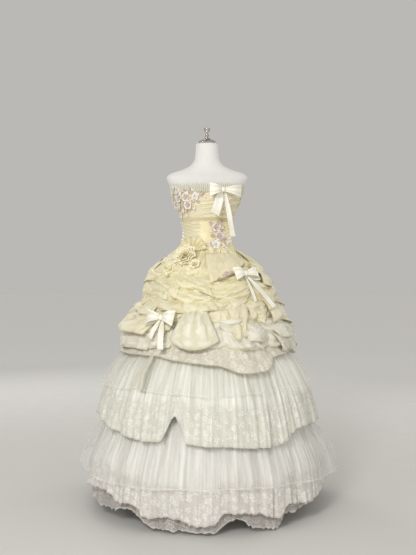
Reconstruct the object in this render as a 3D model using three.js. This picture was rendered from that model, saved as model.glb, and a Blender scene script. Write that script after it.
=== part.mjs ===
import * as THREE from 'three';

// A strapless ball gown on a limbless dress form. Sizes are in millimetres.
// The gown faces -Y, +X is to the right as seen from the front, and the round base stands on z = 0.
// A turn is an angle in degrees about the upright axis: 0 is the centre front and 90 is +X.

// Driving sizes
const NECKLINE = 1388;
const DRAPE_EDGE = 1236;
const BODICE_EDGE = 1100;
const FORM_FOOT = 860;
const NECK_TOP = 1590;
const SEAM = 0.3;
const WEAR_GAP = 0.6;
const TRIM_GAP = 0.95;
const FAR_OUT = 900;
const BODICE_CLOTH = 2;
const SKIRT_CLOTH = 1.5;
const SHEER_CLOTH = 1.2;
const POLE_RADIUS = 12;
const BASE_RADIUS = 170;
const BASE_HEIGHT = 25;
const FORM_COLUMNS = 32;
const BACK_BUTTONS = 6;
const STRIP_TURN = -35;

// Half widths of the dress form to the side, the front and the back at each height
const FORM = [
  { z: 860, side: 150, front: 98, back: 112 },
  { z: 980, side: 165, front: 112, back: 128 },
  { z: 1100, side: 128, front: 118, back: 104 },
  { z: 1140, side: 113, front: 101, back: 91 },
  { z: 1195, side: 105, front: 91, back: 83 },
  { z: 1236, side: 112, front: 99, back: 85 },
  { z: 1280, side: 124, front: 110, back: 88 },
  { z: 1320, side: 142, front: 120, back: 92 },
  { z: 1355, side: 152, front: 121, back: 94 },
  { z: 1388, side: 160, front: 108, back: 94 },
  { z: 1415, side: 173, front: 92, back: 88 },
  { z: 1438, side: 182, front: 76, back: 78 },
  { z: 1456, side: 166, front: 62, back: 66 },
  { z: 1474, side: 113, front: 54, back: 58 },
  { z: 1494, side: 74, front: 48, back: 53 },
  { z: 1525, side: 54, front: 45, back: 49 },
  { z: 1590, side: 49, front: 44, back: 46 },
];

// The two rounds of the bust on the form
const BUST = { turn: 32, spread: 20, z: 1335, tall: 40, depth: 14 };

// Line of the foundation skirt: its half widths below the bodice
const SKIRT_LINE = [
  { z: 0, side: 505, front: 505, back: 505 },
  { z: 100, side: 500, front: 500, back: 500 },
  { z: 200, side: 490, front: 490, back: 490 },
  { z: 300, side: 470, front: 470, back: 470 },
  { z: 400, side: 440, front: 440, back: 440 },
  { z: 500, side: 405, front: 405, back: 405 },
  { z: 600, side: 370, front: 370, back: 370 },
  { z: 700, side: 335, front: 335, back: 335 },
  { z: 800, side: 300, front: 300, back: 300 },
  { z: 900, side: 262, front: 262, back: 262 },
  { z: 1000, side: 215, front: 215, back: 215 },
  { z: 1050, side: 178, front: 174, back: 168 },
  { z: 1100, side: 130.6, front: 120.6, back: 106.6 },
];

// Tiers: their gathers, the depth of a gather at top and hem, and how far the cloth stands off the line
const NET = {
  name: 'glitter_net', top: 355, gathers: 24, gatherTop: 0.4, gatherHem: 8, cloth: SHEER_CLOTH,
  levels: [0, 0.18, 0.55, 1],
  lift: [
    { z: 20, out: 9 },
    { z: 100, out: 5 },
    { z: 200, out: 0 },
    { z: 300, out: -9 },
    { z: 355, out: -SKIRT_CLOTH - SEAM - 2.5 },
  ],
  hem: [
    { turn: -180, z: 45 },
    { turn: -150, z: 25 },
    { turn: -120, z: 60 },
    { turn: -90, z: 41 },
    { turn: -50, z: 50 },
    { turn: -38, z: 70 },
    { turn: -22, z: 17 },
    { turn: -9, z: 12 },
    { turn: -4, z: 6 },
    { turn: 3, z: 14 },
    { turn: 13, z: 62 },
    { turn: 22, z: 21 },
    { turn: 31, z: 8 },
    { turn: 38, z: 58 },
    { turn: 60, z: 66 },
    { turn: 85, z: 100 },
    { turn: 120, z: 35 },
    { turn: 150, z: 62 },
    { turn: 180, z: 45 },
  ],
};

const LOWER_TIER = {
  name: 'lower_tier', top: 440, gathers: 28, gatherTop: 0.4, gatherHem: 8, cloth: SKIRT_CLOTH,
  levels: [0, 0.12, 0.36, 0.6, 1],
  lift: [
    { z: 40, out: 31 },
    { z: 100, out: 28 },
    { z: 200, out: 26 },
    { z: 250, out: 21 },
    { z: 300, out: 9.5 },
    { z: 340, out: 6.5 },
    { z: 400, out: 7 },
    { z: 440, out: SKIRT_CLOTH + SEAM + 0.4 },
  ],
  hem: [
    { turn: -180, z: 70 },
    { turn: -150, z: 58 },
    { turn: -120, z: 95 },
    { turn: -90, z: 72 },
    { turn: -50, z: 118 },
    { turn: -43, z: 82 },
    { turn: -35, z: 92 },
    { turn: -26, z: 54 },
    { turn: -14, z: 68 },
    { turn: -3, z: 36 },
    { turn: 8, z: 84 },
    { turn: 22, z: 70 },
    { turn: 33, z: 42 },
    { turn: 38, z: 88 },
    { turn: 50, z: 74 },
    { turn: 85, z: 108 },
    { turn: 120, z: 66 },
    { turn: 150, z: 92 },
    { turn: 180, z: 70 },
  ],
};

const LOWER_TULLE = {
  name: 'lower_tulle', top: 456, gathers: 14, gatherTop: 0.3, gatherHem: 8, cloth: SHEER_CLOTH,
  flareLeft: 25, flareRight: 31,
  levels: [0, 0.2, 0.36, 0.53, 1],
  lift: [
    { z: 150, out: 52 },
    { z: 200, out: 48 },
    { z: 250, out: 43 },
    { z: 300, out: 27 },
    { z: 340, out: 21 },
    { z: 400, out: 22 },
    { z: 440, out: 7 },
    { z: 456, out: SHEER_CLOTH + SEAM + 1.4 },
  ],
  hem: [
    { turn: -180, z: 190 },
    { turn: -135, z: 172 },
    { turn: -90, z: 200 },
    { turn: -40, z: 170 },
    { turn: 0, z: 182 },
    { turn: 45, z: 172 },
    { turn: 90, z: 158 },
    { turn: 135, z: 186 },
    { turn: 180, z: 190 },
  ],
};

const UPPER_TIER = {
  name: 'upper_tier', top: 700, gathers: 26, gatherTop: 0.4, gatherHem: 8, cloth: SKIRT_CLOTH,
  levels: [0, 0.12, 0.28, 0.6, 1],
  lift: [
    { z: 310, out: 40 },
    { z: 400, out: 47 },
    { z: 500, out: 52 },
    { z: 600, out: 38 },
    { z: 660, out: 13 },
    { z: 700, out: SKIRT_CLOTH + SEAM + 0.4 },
  ],
  hem: [
    { turn: -180, z: 350 },
    { turn: -140, z: 372 },
    { turn: -110, z: 348 },
    { turn: -77, z: 400 },
    { turn: -53, z: 374 },
    { turn: -31, z: 346 },
    { turn: -22, z: 352 },
    { turn: -13.5, z: 462 },
    { turn: -8, z: 348 },
    { turn: 8, z: 335 },
    { turn: 33, z: 322 },
    { turn: 52, z: 380 },
    { turn: 80, z: 366 },
    { turn: 120, z: 340 },
    { turn: 150, z: 372 },
    { turn: 180, z: 350 },
  ],
};

const UPPER_TULLE = {
  name: 'upper_tulle', top: 712, gathers: 14, gatherTop: 0.3, gatherHem: 7, cloth: SHEER_CLOTH,
  levels: [0, 0.28, 0.6, 1],
  lift: [
    { z: 500, out: 74 },
    { z: 560, out: 67 },
    { z: 600, out: 56 },
    { z: 630, out: 42 },
    { z: 660, out: 25 },
    { z: 680, out: 15 },
    { z: 700, out: 6 },
    { z: 712, out: SHEER_CLOTH + SEAM + 1.2 },
  ],
  hem: [
    { turn: -180, z: 530 },
    { turn: -130, z: 512 },
    { turn: -85, z: 522 },
    { turn: -40, z: 540 },
    { turn: 0, z: 526 },
    { turn: 45, z: 538 },
    { turn: 90, z: 545 },
    { turn: 135, z: 520 },
    { turn: 180, z: 530 },
  ],
};

const LACE_FLOUNCE = {
  name: 'lace_flounce', top: 760, gathers: 18, gatherTop: 0.4, gatherHem: 6, cloth: SKIRT_CLOTH,
  levels: [0, 0.5, 1],
  lift: [
    { z: 600, out: 76 },
    { z: 610, out: 73 },
    { z: 640, out: 57 },
    { z: 660, out: 42 },
    { z: 680, out: 32 },
    { z: 700, out: 24 },
    { z: 730, out: 13 },
    { z: 760, out: SKIRT_CLOTH + SEAM + 0.6 },
  ],
  hem: [
    { turn: -180, z: 640 },
    { turn: -150, z: 668 },
    { turn: -115, z: 640 },
    { turn: -75, z: 664 },
    { turn: -35, z: 668 },
    { turn: -14, z: 650 },
    { turn: 6, z: 638 },
    { turn: 20, z: 608 },
    { turn: 32, z: 610 },
    { turn: 48, z: 662 },
    { turn: 75, z: 672 },
    { turn: 115, z: 634 },
    { turn: 150, z: 666 },
    { turn: 180, z: 640 },
  ],
};

// Rows of picked-up puffs. A puff runs from its own turn to the next one's, stands out by its reach
// and hangs below the row by its drop.
const PUFF_ROWS = [
  {
    name: 'puffs_waist', top: 1138, hem: 1000,
    lift: [
      { z: 960, out: 37 },
      { z: 1000, out: 34 },
      { z: 1050, out: 29 },
      { z: 1100, out: 9 },
      { z: 1138, out: SKIRT_CLOTH + SEAM + 0.7 },
    ],
    puffs: [
      { turn: -180, reach: 14, drop: 22 },
      { turn: -142, reach: 20, drop: 12 },
      { turn: -108, reach: 16, drop: 24 },
      { turn: -74, reach: 22, drop: 20 },
      { turn: -42, reach: 12, drop: 8 },
      { turn: -6, reach: 3, drop: 20 },
      { turn: 30, reach: 8, drop: 4 },
      { turn: 66, reach: 14, drop: 16 },
      { turn: 106, reach: 20, drop: 22 },
      { turn: 142, reach: 15, drop: 12 },
    ],
  },
  {
    name: 'puffs_high_hip', top: 1030, hem: 885,
    lift: [
      { z: 860, out: 34 },
      { z: 880, out: 33 },
      { z: 920, out: 29 },
      { z: 960, out: 21 },
      { z: 1000, out: 7 },
      { z: 1030, out: SKIRT_CLOTH + SEAM + 0.9 },
    ],
    puffs: [
      { turn: -180, reach: 20, drop: 18 },
      { turn: -146, reach: 14, drop: 8 },
      { turn: -112, reach: 12, drop: 20 },
      { turn: -80, reach: 16, drop: 12 },
      { turn: -46, reach: 12, drop: 16 },
      { turn: -18, reach: 3, drop: 8 },
      { turn: 12, reach: 12, drop: 18 },
      { turn: 44, reach: 18, drop: 10 },
      { turn: 74, reach: 34, drop: 14 },
      { turn: 108, reach: 18, drop: 20 },
      { turn: 144, reach: 22, drop: 10 },
    ],
  },
  {
    name: 'puffs_low_hip', top: 920, hem: 795,
    lift: [
      { z: 770, out: 43 },
      { z: 790, out: 41 },
      { z: 840, out: 33 },
      { z: 880, out: 17 },
      { z: 920, out: SKIRT_CLOTH + SEAM + 1.4 },
    ],
    puffs: [
      { turn: -180, reach: 18, drop: 12 },
      { turn: -150, reach: 22, drop: 20 },
      { turn: -118, reach: 16, drop: 8 },
      { turn: -98, reach: 48, drop: 10 },
      { turn: -64, reach: 14, drop: 18 },
      { turn: -34, reach: 3, drop: 4 },
      { turn: 10, reach: 14, drop: 10 },
      { turn: 38, reach: 18, drop: 20 },
      { turn: 68, reach: 10, drop: 8 },
      { turn: 100, reach: 24, drop: 18 },
      { turn: 140, reach: 16, drop: 14 },
    ],
  },
  {
    name: 'puffs_thigh', top: 830, hem: 702,
    lift: [
      { z: 670, out: 41 },
      { z: 700, out: 37 },
      { z: 750, out: 32 },
      { z: 790, out: 22 },
      { z: 830, out: SKIRT_CLOTH + SEAM + 1.7 },
    ],
    puffs: [
      { turn: -180, reach: 20, drop: 8 },
      { turn: -148, reach: 16, drop: 18 },
      { turn: -116, reach: 22, drop: 10 },
      { turn: -82, reach: 16, drop: 16 },
      { turn: -52, reach: 12, drop: 6 },
      { turn: -26, reach: 3, drop: 2 },
      { turn: 14, reach: 16, drop: 16 },
      { turn: 44, reach: 22, drop: 8 },
      { turn: 70, reach: 36, drop: 14 },
      { turn: 106, reach: 20, drop: 18 },
      { turn: 144, reach: 14, drop: 10 },
    ],
  },
];
const PUFF_COLUMNS = 4;
const PUFF_LEVELS = [0, 0.25, 0.6, 1];
const GATHER_COLUMNS = 3;

// The large smooth puff at the front: height by height, its half width in degrees, and its edge and crown
// from the upright axis
const FRONT_PUFF = {
  turn: -8,
  rings: [
    { z: 886, half: 9, edge: 286, crown: 288 },
    { z: 868, half: 11, edge: 300, crown: 303 },
    { z: 840, half: 13, edge: 334, crown: 350 },
    { z: 800, half: 15, edge: 362, crown: 384 },
    { z: 750, half: 15.5, edge: 370, crown: 402 },
    { z: 718, half: 14, edge: 376, crown: 404 },
    { z: 696, half: 8, edge: 380, crown: 394 },
  ],
};

// Folds of the draped front: height at the centre, rise to the right in mm per degree, height of the ridge
const DRAPE_FOLDS = [
  { z: 1376, rise: 0.1, ridge: 1.6 },
  { z: 1354, rise: 0.3, ridge: 2.4 },
  { z: 1334, rise: 0.45, ridge: 2.8 },
  { z: 1312, rise: 0.5, ridge: 3 },
  { z: 1292, rise: 0.4, ridge: 2.6 },
  { z: 1272, rise: 0.25, ridge: 3 },
  { z: 1252, rise: 0.1, ridge: 3.4 },
];
const FOLD_WIDTH = 7;

// Satin bows, with the reach of their two loops. A tail starts beside the knot's middle and has a length,
// a width and a swing to the right in degrees. A bow sits further out than other trims by its ease.
const BOWS = [
  {
    name: 'bust_bow', turn: 27, z: 1371, lean: 0, ease: 0.25, left: 54, right: 74, height: 52,
    tails: [
      { side: 'left', start: -3, length: 108, width: 34, swing: -18 },
      { side: 'right', start: 12, length: 204, width: 24, swing: 12 },
    ],
  },
  {
    name: 'right_hip_bow', turn: 38, z: 1002, lean: 30, ease: 0, left: 46, right: 56, height: 56,
    tails: [
      { side: 'left', start: -3, length: 128, width: 15, swing: 4 },
      { side: 'right', start: 3.5, length: 184, width: 26, swing: 31 },
    ],
  },
  {
    name: 'left_front_bow', turn: -31, z: 822, lean: 24, ease: 0, left: 56, right: 50, height: 60,
    tails: [
      { side: 'left', start: -4, length: 92, width: 22, swing: -20 },
      { side: 'right', start: 5, length: 134, width: 28, swing: 10 },
    ],
  },
];
const RIBBON_CLOTH = 1.2;

// Flowers: where each sits, its radius, petals and height
const FLOWERS = [
  { name: 'hip_rose', on: 'hip', turn: -31, z: 1080, lean: 34, radius: 46, petals: 7, height: 24 },
  { name: 'hip_flower_low', on: 'hip', turn: -14, z: 1046, lean: 34, radius: 18, petals: 5, height: 9 },
  { name: 'hip_flower_side', on: 'hip', turn: -42, z: 1024, lean: 34, radius: 20, petals: 5, height: 9 },
  { name: 'bust_flower_1', on: 'bodice', turn: -58, z: 1341, lean: 0, radius: 17, petals: 5, height: 5 },
  { name: 'bust_flower_2', on: 'bodice', turn: -40, z: 1342, lean: 0, radius: 16, petals: 5, height: 5 },
  { name: 'bust_flower_3', on: 'bodice', turn: -22, z: 1343, lean: 0, radius: 15, petals: 5, height: 5 },
  { name: 'bust_flower_4', on: 'bodice', turn: -64, z: 1308, lean: -8, radius: 14, petals: 5, height: 5 },
  { name: 'bust_flower_5', on: 'bodice', turn: -36, z: 1308, lean: -8, radius: 15, petals: 5, height: 5 },
  { name: 'waist_flower_1', on: 'bodice', turn: 24, z: 1212, lean: -4, radius: 17, petals: 5, height: 5 },
  { name: 'waist_flower_2', on: 'bodice', turn: 32, z: 1172, lean: 4, radius: 18, petals: 5, height: 5 },
  { name: 'waist_flower_3', on: 'bodice', turn: 20, z: 1134, lean: 14, radius: 16, petals: 5, height: 5 },
];

const SATIN = new THREE.MeshStandardMaterial({ color: '#efe2b4', roughness: 0.35, metalness: 0 });
const BOW_SATIN = new THREE.MeshStandardMaterial({ color: '#f6f0d8', roughness: 0.3, metalness: 0 });
const CHIFFON = new THREE.MeshStandardMaterial({ color: '#ebe2bd', roughness: 0.7, metalness: 0 });
const ORGANZA = new THREE.MeshStandardMaterial({ color: '#e6deba', roughness: 0.6, metalness: 0 });
const WHITE_TULLE = new THREE.MeshStandardMaterial({ color: '#e4e2d6', roughness: 0.8, metalness: 0 });
const LACE = new THREE.MeshStandardMaterial({ color: '#dcd8cc', roughness: 0.85, metalness: 0 });
const GREY_NET = new THREE.MeshStandardMaterial({ color: '#c9c0b8', roughness: 0.8, metalness: 0 });
const APPLIQUE = new THREE.MeshStandardMaterial({ color: '#e6dacd', roughness: 0.8, metalness: 0 });
const FORM_SKIN = new THREE.MeshStandardMaterial({ color: '#e3e3de', roughness: 0.55, metalness: 0 });
const POLISHED_METAL = new THREE.MeshStandardMaterial({ color: '#c8c8c8', roughness: 0.2, metalness: 1 });

// Value of a column at a key, on a smooth line through the rows of a table that never overshoots them
function read(table, key, at, column) {
  const last = table.length - 1;
  if (at <= table[0][key]) return table[0][column];
  if (at >= table[last][key]) return table[last][column];
  const slope = (i) => (table[i + 1][column] - table[i][column]) / (table[i + 1][key] - table[i][key]);
  const tangent = (i) => {
    if (i === 0) return slope(0);
    if (i === last) return slope(last - 1);
    const before = slope(i - 1);
    const after = slope(i);
    return before * after <= 0 ? 0 : (2 * before * after) / (before + after);
  };
  let i = 0;
  while (table[i + 1][key] < at) i += 1;
  const span = table[i + 1][key] - table[i][key];
  const t = (at - table[i][key]) / span;
  const rise = table[i + 1][column] - table[i][column];
  const start = tangent(i) * span;
  const end = tangent(i + 1) * span;
  return table[i][column] + start * t
    + (3 * rise - 2 * start - end) * t * t
    + (start + end - 2 * rise) * t * t * t;
}

// Value of a column at a key, on straight lines between the rows of a table
function readStraight(table, key, at, column) {
  const i = Math.max(1, table.findIndex((row) => row[key] >= at));
  const part = (at - table[i - 1][key]) / (table[i][key] - table[i - 1][key]);
  return THREE.MathUtils.lerp(table[i - 1][column], table[i][column], part);
}

// Distance from the axis to an oval section in one direction
function oval(table, reader, turn, z) {
  const angle = THREE.MathUtils.degToRad(turn);
  const across = reader(table, 'z', z, 'side');
  const deep = reader(table, 'z', z, Math.cos(angle) > 0 ? 'front' : 'back');
  return 1 / Math.hypot(Math.sin(angle) / across, Math.cos(angle) / deep);
}

function formRadius(turn, z) {
  const round = (side) => Math.exp(-(((turn - side * BUST.turn) / BUST.spread) ** 2));
  const height = Math.exp(-(((z - BUST.z) / BUST.tall) ** 2));
  return oval(FORM, read, turn, z) + BUST.depth * height * (round(1) + round(-1));
}

// Heights of the form's rings, twice as close where the draped front lies on it
function formHeights() {
  const heights = FORM.map((row) => row.z);
  const draped = heights.filter((z) => z >= DRAPE_EDGE && z < NECKLINE);
  const between = draped.map((z) => (z + heights[heights.indexOf(z) + 1]) / 2);
  return [...heights, ...between].sort((a, b) => a - b);
}

function bodiceRadius(turn, z) {
  return formRadius(turn, z) + WEAR_GAP + BODICE_CLOTH;
}

function lineRadius(turn, z) {
  return z >= BODICE_EDGE ? bodiceRadius(turn, z) : oval(SKIRT_LINE, readStraight, turn, z);
}

function around(turn, radius, z) {
  const angle = THREE.MathUtils.degToRad(turn);
  return [radius * Math.sin(angle), -radius * Math.cos(angle), z];
}

function named(name, geometry, material) {
  const mesh = new THREE.Mesh(geometry, material);
  mesh.name = name;
  return mesh;
}

function facetted(points, faces) {
  const geometry = new THREE.BufferGeometry();
  geometry.setAttribute('position', new THREE.Float32BufferAttribute(points.flat(), 3));
  geometry.setIndex(faces.flat());
  geometry.computeVertexNormals();
  return geometry;
}

// A wall that closes on itself: columns run round it and levels run down it
function closedWall(columns, levels, outer, inner) {
  const loop = 2 * levels.length;
  const points = [];
  const faces = [];
  for (let column = 0; column < columns; column += 1) {
    levels.forEach((level) => points.push(outer(column, level)));
    [...levels].reverse().forEach((level) => points.push(inner(column, level)));
    const next = (column + 1) % columns;
    for (let i = 0; i < loop; i += 1) {
      const j = (i + 1) % loop;
      const [a, b] = [column * loop + i, column * loop + j];
      const [c, d] = [next * loop + j, next * loop + i];
      if (i < levels.length) faces.push([a, b, c], [a, c, d]);
      else faces.push([a, b, d], [b, c, d]);
    }
  }
  return facetted(points, faces);
}

// A wall with four edges: u runs to the right and v runs down, both from 0 to 1
function sheetWall(across, down, front, back) {
  const points = [];
  const faces = [];
  const count = (across + 1) * (down + 1);
  for (const side of [front, back]) {
    for (let j = 0; j <= down; j += 1) {
      for (let i = 0; i <= across; i += 1) points.push(side(i / across, j / down));
    }
  }
  const at = (i, j) => j * (across + 1) + i;
  const quad = (a, b, c, d) => faces.push([a, b, c], [a, c, d]);
  for (let j = 0; j < down; j += 1) {
    for (let i = 0; i < across; i += 1) {
      const [a, b, c, d] = [at(i, j), at(i, j + 1), at(i + 1, j + 1), at(i + 1, j)];
      quad(a, b, c, d);
      quad(a + count, d + count, c + count, b + count);
    }
  }
  const rim = [];
  for (let i = 0; i < across; i += 1) rim.push(at(i, 0));
  for (let j = 0; j < down; j += 1) rim.push(at(across, j));
  for (let i = across; i > 0; i -= 1) rim.push(at(i, down));
  for (let j = down; j > 0; j -= 1) rim.push(at(0, j));
  rim.forEach((a, k) => {
    const b = rim[(k + 1) % rim.length];
    quad(a, b, b + count, a + count);
  });
  return facetted(points, faces);
}

// A solid skin through rings of points, closed by a flat end at each of its ends
function loft(columns, heights, place) {
  const points = [];
  const faces = [];
  heights.forEach((z) => {
    for (let column = 0; column < columns; column += 1) points.push(place(column, z));
  });
  const foot = points.length;
  points.push([0, 0, heights[0]], [0, 0, heights[heights.length - 1]]);
  const top = (heights.length - 1) * columns;
  for (let column = 0; column < columns; column += 1) {
    const next = (column + 1) % columns;
    for (let row = 0; row < top; row += columns) {
      faces.push([row + column, row + next, row + columns + column]);
      faces.push([row + next, row + columns + next, row + columns + column]);
    }
    faces.push([foot, next, column], [foot + 1, top + column, top + next]);
  }
  return facetted(points, faces);
}

function turned(profile, sides) {
  const points = profile.map(([radius, height]) => new THREE.Vector2(radius, height));
  return new THREE.LatheGeometry(points, sides).rotateX(Math.PI / 2);
}

function dressForm() {
  const group = new THREE.Group();
  const heights = formHeights();
  const step = 360 / FORM_COLUMNS;
  const body = loft(FORM_COLUMNS, heights, (column, z) => {
    const turn = column * step > 180 ? column * step - 360 : column * step;
    return around(turn, formRadius(turn, z), z);
  });
  group.add(named('form_body', body, FORM_SKIN));

  const cap = turned([[0, 0], [45, 0], [44, 7], [34, 15], [18, 20], [0, 22]], 14);
  const neckCap = named('form_neck_cap', cap, POLISHED_METAL);
  neckCap.position.z = NECK_TOP + SEAM;
  const finial = named('form_finial', turned([
    [0, 0], [17, 0], [17, 4], [8, 7], [6, 11], [11, 15], [12, 18], [9, 22],
    [6, 26], [9, 31], [17, 42], [19, 47], [12, 46], [6, 38], [0, 37],
  ], 10), POLISHED_METAL);
  finial.position.z = neckCap.position.z + 22 + SEAM;
  const pole = named('form_pole', turned([
    [0, 0], [POLE_RADIUS, 0], [POLE_RADIUS, FORM_FOOT - BASE_HEIGHT - 2 * SEAM],
    [0, FORM_FOOT - BASE_HEIGHT - 2 * SEAM],
  ], 12), POLISHED_METAL);
  pole.position.z = BASE_HEIGHT + SEAM;
  const base = named('form_base', turned([
    [0, 0], [BASE_RADIUS, 0], [BASE_RADIUS, 8], [BASE_RADIUS - 8, 14], [60, 18], [22, BASE_HEIGHT],
    [0, BASE_HEIGHT],
  ], 24), POLISHED_METAL);
  group.add(neckCap, finial, pole, base);
  return group;
}

// A bodice panel from one turn to another, worn on the form with its own outer relief
function bodicePanel(name, turns, heights, material, relief) {
  const across = Math.round((turns[1] - turns[0]) / (360 / FORM_COLUMNS));
  const down = heights.length - 1;
  const seamTurn = THREE.MathUtils.radToDeg(SEAM / 2 / 100);
  const place = (thickness) => (u, v) => {
    const turn = turns[0] + (turns[1] - turns[0]) * u;
    const inset = u === 0 ? seamTurn : u === 1 ? -seamTurn : 0;
    const z = heights[Math.round(v * down)];
    const raised = thickness === 0 ? 0 : relief(turn, z);
    return around(turn + inset, formRadius(turn, z) + WEAR_GAP + thickness + raised, z);
  };
  return named(name, sheetWall(across, down, place(BODICE_CLOTH), place(0)), material);
}

function drapeRelief(turn, z) {
  const edge = Math.cos(THREE.MathUtils.degToRad(turn));
  return DRAPE_FOLDS.reduce((sum, fold) => {
    const away = (z - fold.z - fold.rise * turn) / FOLD_WIDTH;
    return sum + fold.ridge * Math.sqrt(Math.max(edge, 0)) * Math.exp(-away * away);
  }, 0);
}

function bodice() {
  const group = new THREE.Group();
  const heights = formHeights().filter((z) => z >= BODICE_EDGE && z <= NECKLINE).reverse();
  const upper = heights.filter((z) => z >= DRAPE_EDGE);
  const lower = heights.filter((z) => z <= DRAPE_EDGE);
  lower[0] = DRAPE_EDGE - SEAM;
  const plain = () => 0;
  group.add(bodicePanel('bodice_front', [-90, 90], upper, CHIFFON, drapeRelief));
  group.add(bodicePanel('waist_front', [-90, 90], lower, SATIN, plain));
  group.add(bodicePanel('bodice_back_right', [90, 180], heights, CHIFFON, plain));
  group.add(bodicePanel('bodice_back_left', [-180, -90], heights, CHIFFON, plain));
  return group;
}

// The gathered band that stands up round the neckline
function neckFrill() {
  const frill = { low: NECKLINE - 26, high: NECKLINE + 14, gathers: 24, depth: 2.2, clear: 1.4 };
  const columns = frill.gathers * GATHER_COLUMNS;
  const place = (inset) => (column, t) => {
    const turn = (column / columns) * 360 - 180;
    const z = frill.high + (frill.low - frill.high) * t;
    const wave = frill.depth * (1.2 + Math.cos((column / GATHER_COLUMNS) * 2 * Math.PI));
    const carrier = bodiceRadius(turn, Math.min(z, NECKLINE));
    return around(turn, carrier + frill.clear + wave + SHEER_CLOTH - inset, z);
  };
  return named('neck_frill', closedWall(columns, [0, 1], place(0), place(SHEER_CLOTH)), LACE);
}

// Foundation skirt that carries every tier
function foundation() {
  const columns = 36;
  const rings = [BODICE_EDGE - SEAM, 1050, 1000, 900, 800, 400, 300];
  const place = (inset) => (column, z) => {
    const turn = (column / columns) * 360 - 180;
    return around(turn, lineRadius(turn, z) - inset, z);
  };
  return named('foundation_skirt', closedWall(columns, rings, place(0), place(SKIRT_CLOTH)), SATIN);
}

// How far the loose lower part of a tier stands off further at its two sides
function sideFlare({ flareLeft = 0, flareRight = 0 }, turn, z) {
  const across = Math.sin(THREE.MathUtils.degToRad(turn));
  const loose = 1 - THREE.MathUtils.smoothstep(z, 285, 350);
  return (across > 0 ? flareRight : flareLeft) * across ** 4 * loose;
}

// A gathered tier. Each gather has a crest and a trough, a little uneven in width and depth.
function gatheredTier(tier, material) {
  const columns = tier.gathers * GATHER_COLUMNS;
  const place = (inset) => (column, t) => {
    const even = (column / columns) * 360;
    const unevenWidth = 2.2 * Math.sin(THREE.MathUtils.degToRad(even * 5)) * (12 / tier.gathers);
    const turn = ((even + unevenWidth + 180) % 360) - 180;
    const z = tier.top + (read(tier.hem, 'turn', turn, 'z') - tier.top) * t;
    const unevenDepth = 0.75 + 0.25 * Math.sin(THREE.MathUtils.degToRad(even * 7 + 40));
    const depth = (tier.gatherTop + (tier.gatherHem - tier.gatherTop) * t) * unevenDepth;
    const wave = depth * Math.cos((column / GATHER_COLUMNS) * 2 * Math.PI);
    const lift = read(tier.lift, 'z', z, 'out') + sideFlare(tier, turn, z);
    return around(turn, lineRadius(turn, z) + lift + wave - inset, z);
  };
  return named(tier.name, closedWall(columns, tier.levels, place(0), place(tier.cloth)), material);
}

// Radius of a row of puffs: the row's own lift, and each puff swelling out between two pinched ends
function puffPoint(row, part, within, t) {
  const puff = row.puffs[part];
  const next = part + 1 < row.puffs.length ? row.puffs[part + 1].turn : row.puffs[0].turn + 360;
  const turn = puff.turn + (next - puff.turn) * within;
  const swell = Math.sin(Math.PI * within) ** 0.7;
  const z = row.top + (row.hem - puff.drop * swell - row.top) * t;
  const out = read(row.lift, 'z', z, 'out') + puff.reach * swell * t ** 1.6;
  return { turn, z, radius: lineRadius(turn, z) + out };
}

function puffRow(row) {
  const place = (inset) => (column, t) => {
    const part = Math.floor(column / PUFF_COLUMNS);
    const point = puffPoint(row, part, (column % PUFF_COLUMNS) / PUFF_COLUMNS, t);
    return around(point.turn, point.radius - inset, point.z);
  };
  const columns = row.puffs.length * PUFF_COLUMNS;
  return named(row.name, closedWall(columns, PUFF_LEVELS, place(0), place(SKIRT_CLOTH)), ORGANZA);
}

function frontPuff() {
  const { rings, turn: middle } = FRONT_PUFF;
  const place = (inset) => (u, v) => {
    const ring = rings[Math.round(v * (rings.length - 1))];
    const swell = Math.sin(Math.PI * u) ** 0.6;
    const turn = middle + (2 * u - 1) * ring.half;
    const z = ring.z + 8 * v * (1 - swell);
    return around(turn, ring.edge + (ring.crown - ring.edge) * swell - inset, z);
  };
  return named('front_puff', sheetWall(8, rings.length - 1, place(0), place(SKIRT_CLOTH)), ORGANZA);
}

// Smooth overlay on the right of the waist, cut to a point at the centre front
function peplum() {
  const cut = { left: -3, right: 50, top: 1094, point: 968, side: 1036, clear: 6 };
  const row = PUFF_ROWS[0];
  const place = (inset) => (u, v) => {
    const turn = cut.left + (cut.right - cut.left) * u;
    const hem = cut.point + (cut.side - cut.point) * u;
    const z = cut.top + (hem - cut.top) * v;
    const carrier = lineRadius(turn, z) + read(row.lift, 'z', z, 'out') + 8 * v ** 1.2;
    return around(turn, carrier + cut.clear + SKIRT_CLOTH - inset, z);
  };
  return named('peplum', sheetWall(6, 4, place(0), place(SKIRT_CLOTH)), ORGANZA);
}

// A loose sheer strip that hangs from the flounce at the left
function sheerStrip() {
  const strip = { half: 1.6, top: 664, hem: 528 };
  const place = (inset) => (u, v) => {
    const turn = STRIP_TURN + (2 * u - 1) * strip.half;
    const z = strip.top + (strip.hem - strip.top) * v;
    const radius = lineRadius(turn, z) + read(LACE_FLOUNCE.lift, 'z', z, 'out') + 10;
    return around(turn, radius - inset, z);
  };
  return named('sheer_strip', sheetWall(1, 5, place(0), place(SHEER_CLOTH)), ORGANZA);
}

// Half of a bow: a ribbon band bent into a drop shape that opens above and below
function bowLoop(length, height, way) {
  const columns = 10;
  const thick = 26;
  const place = (inset) => (column, t) => {
    const angle = -(column / columns) * 2 * Math.PI * way;
    const along = (1 - Math.cos(angle)) / 2;
    const fat = (thick / 2 - inset) * Math.sin(angle) * Math.sin(Math.PI * (0.12 + 0.78 * along));
    const x = way * (inset + along * (length - 2 * inset));
    const tall = height * (0.32 + 0.68 * along);
    return [x, fat - thick / 2, tall * (0.5 - t)];
  };
  return closedWall(columns, [0, 1], place(0), place(RIBBON_CLOTH));
}

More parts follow.
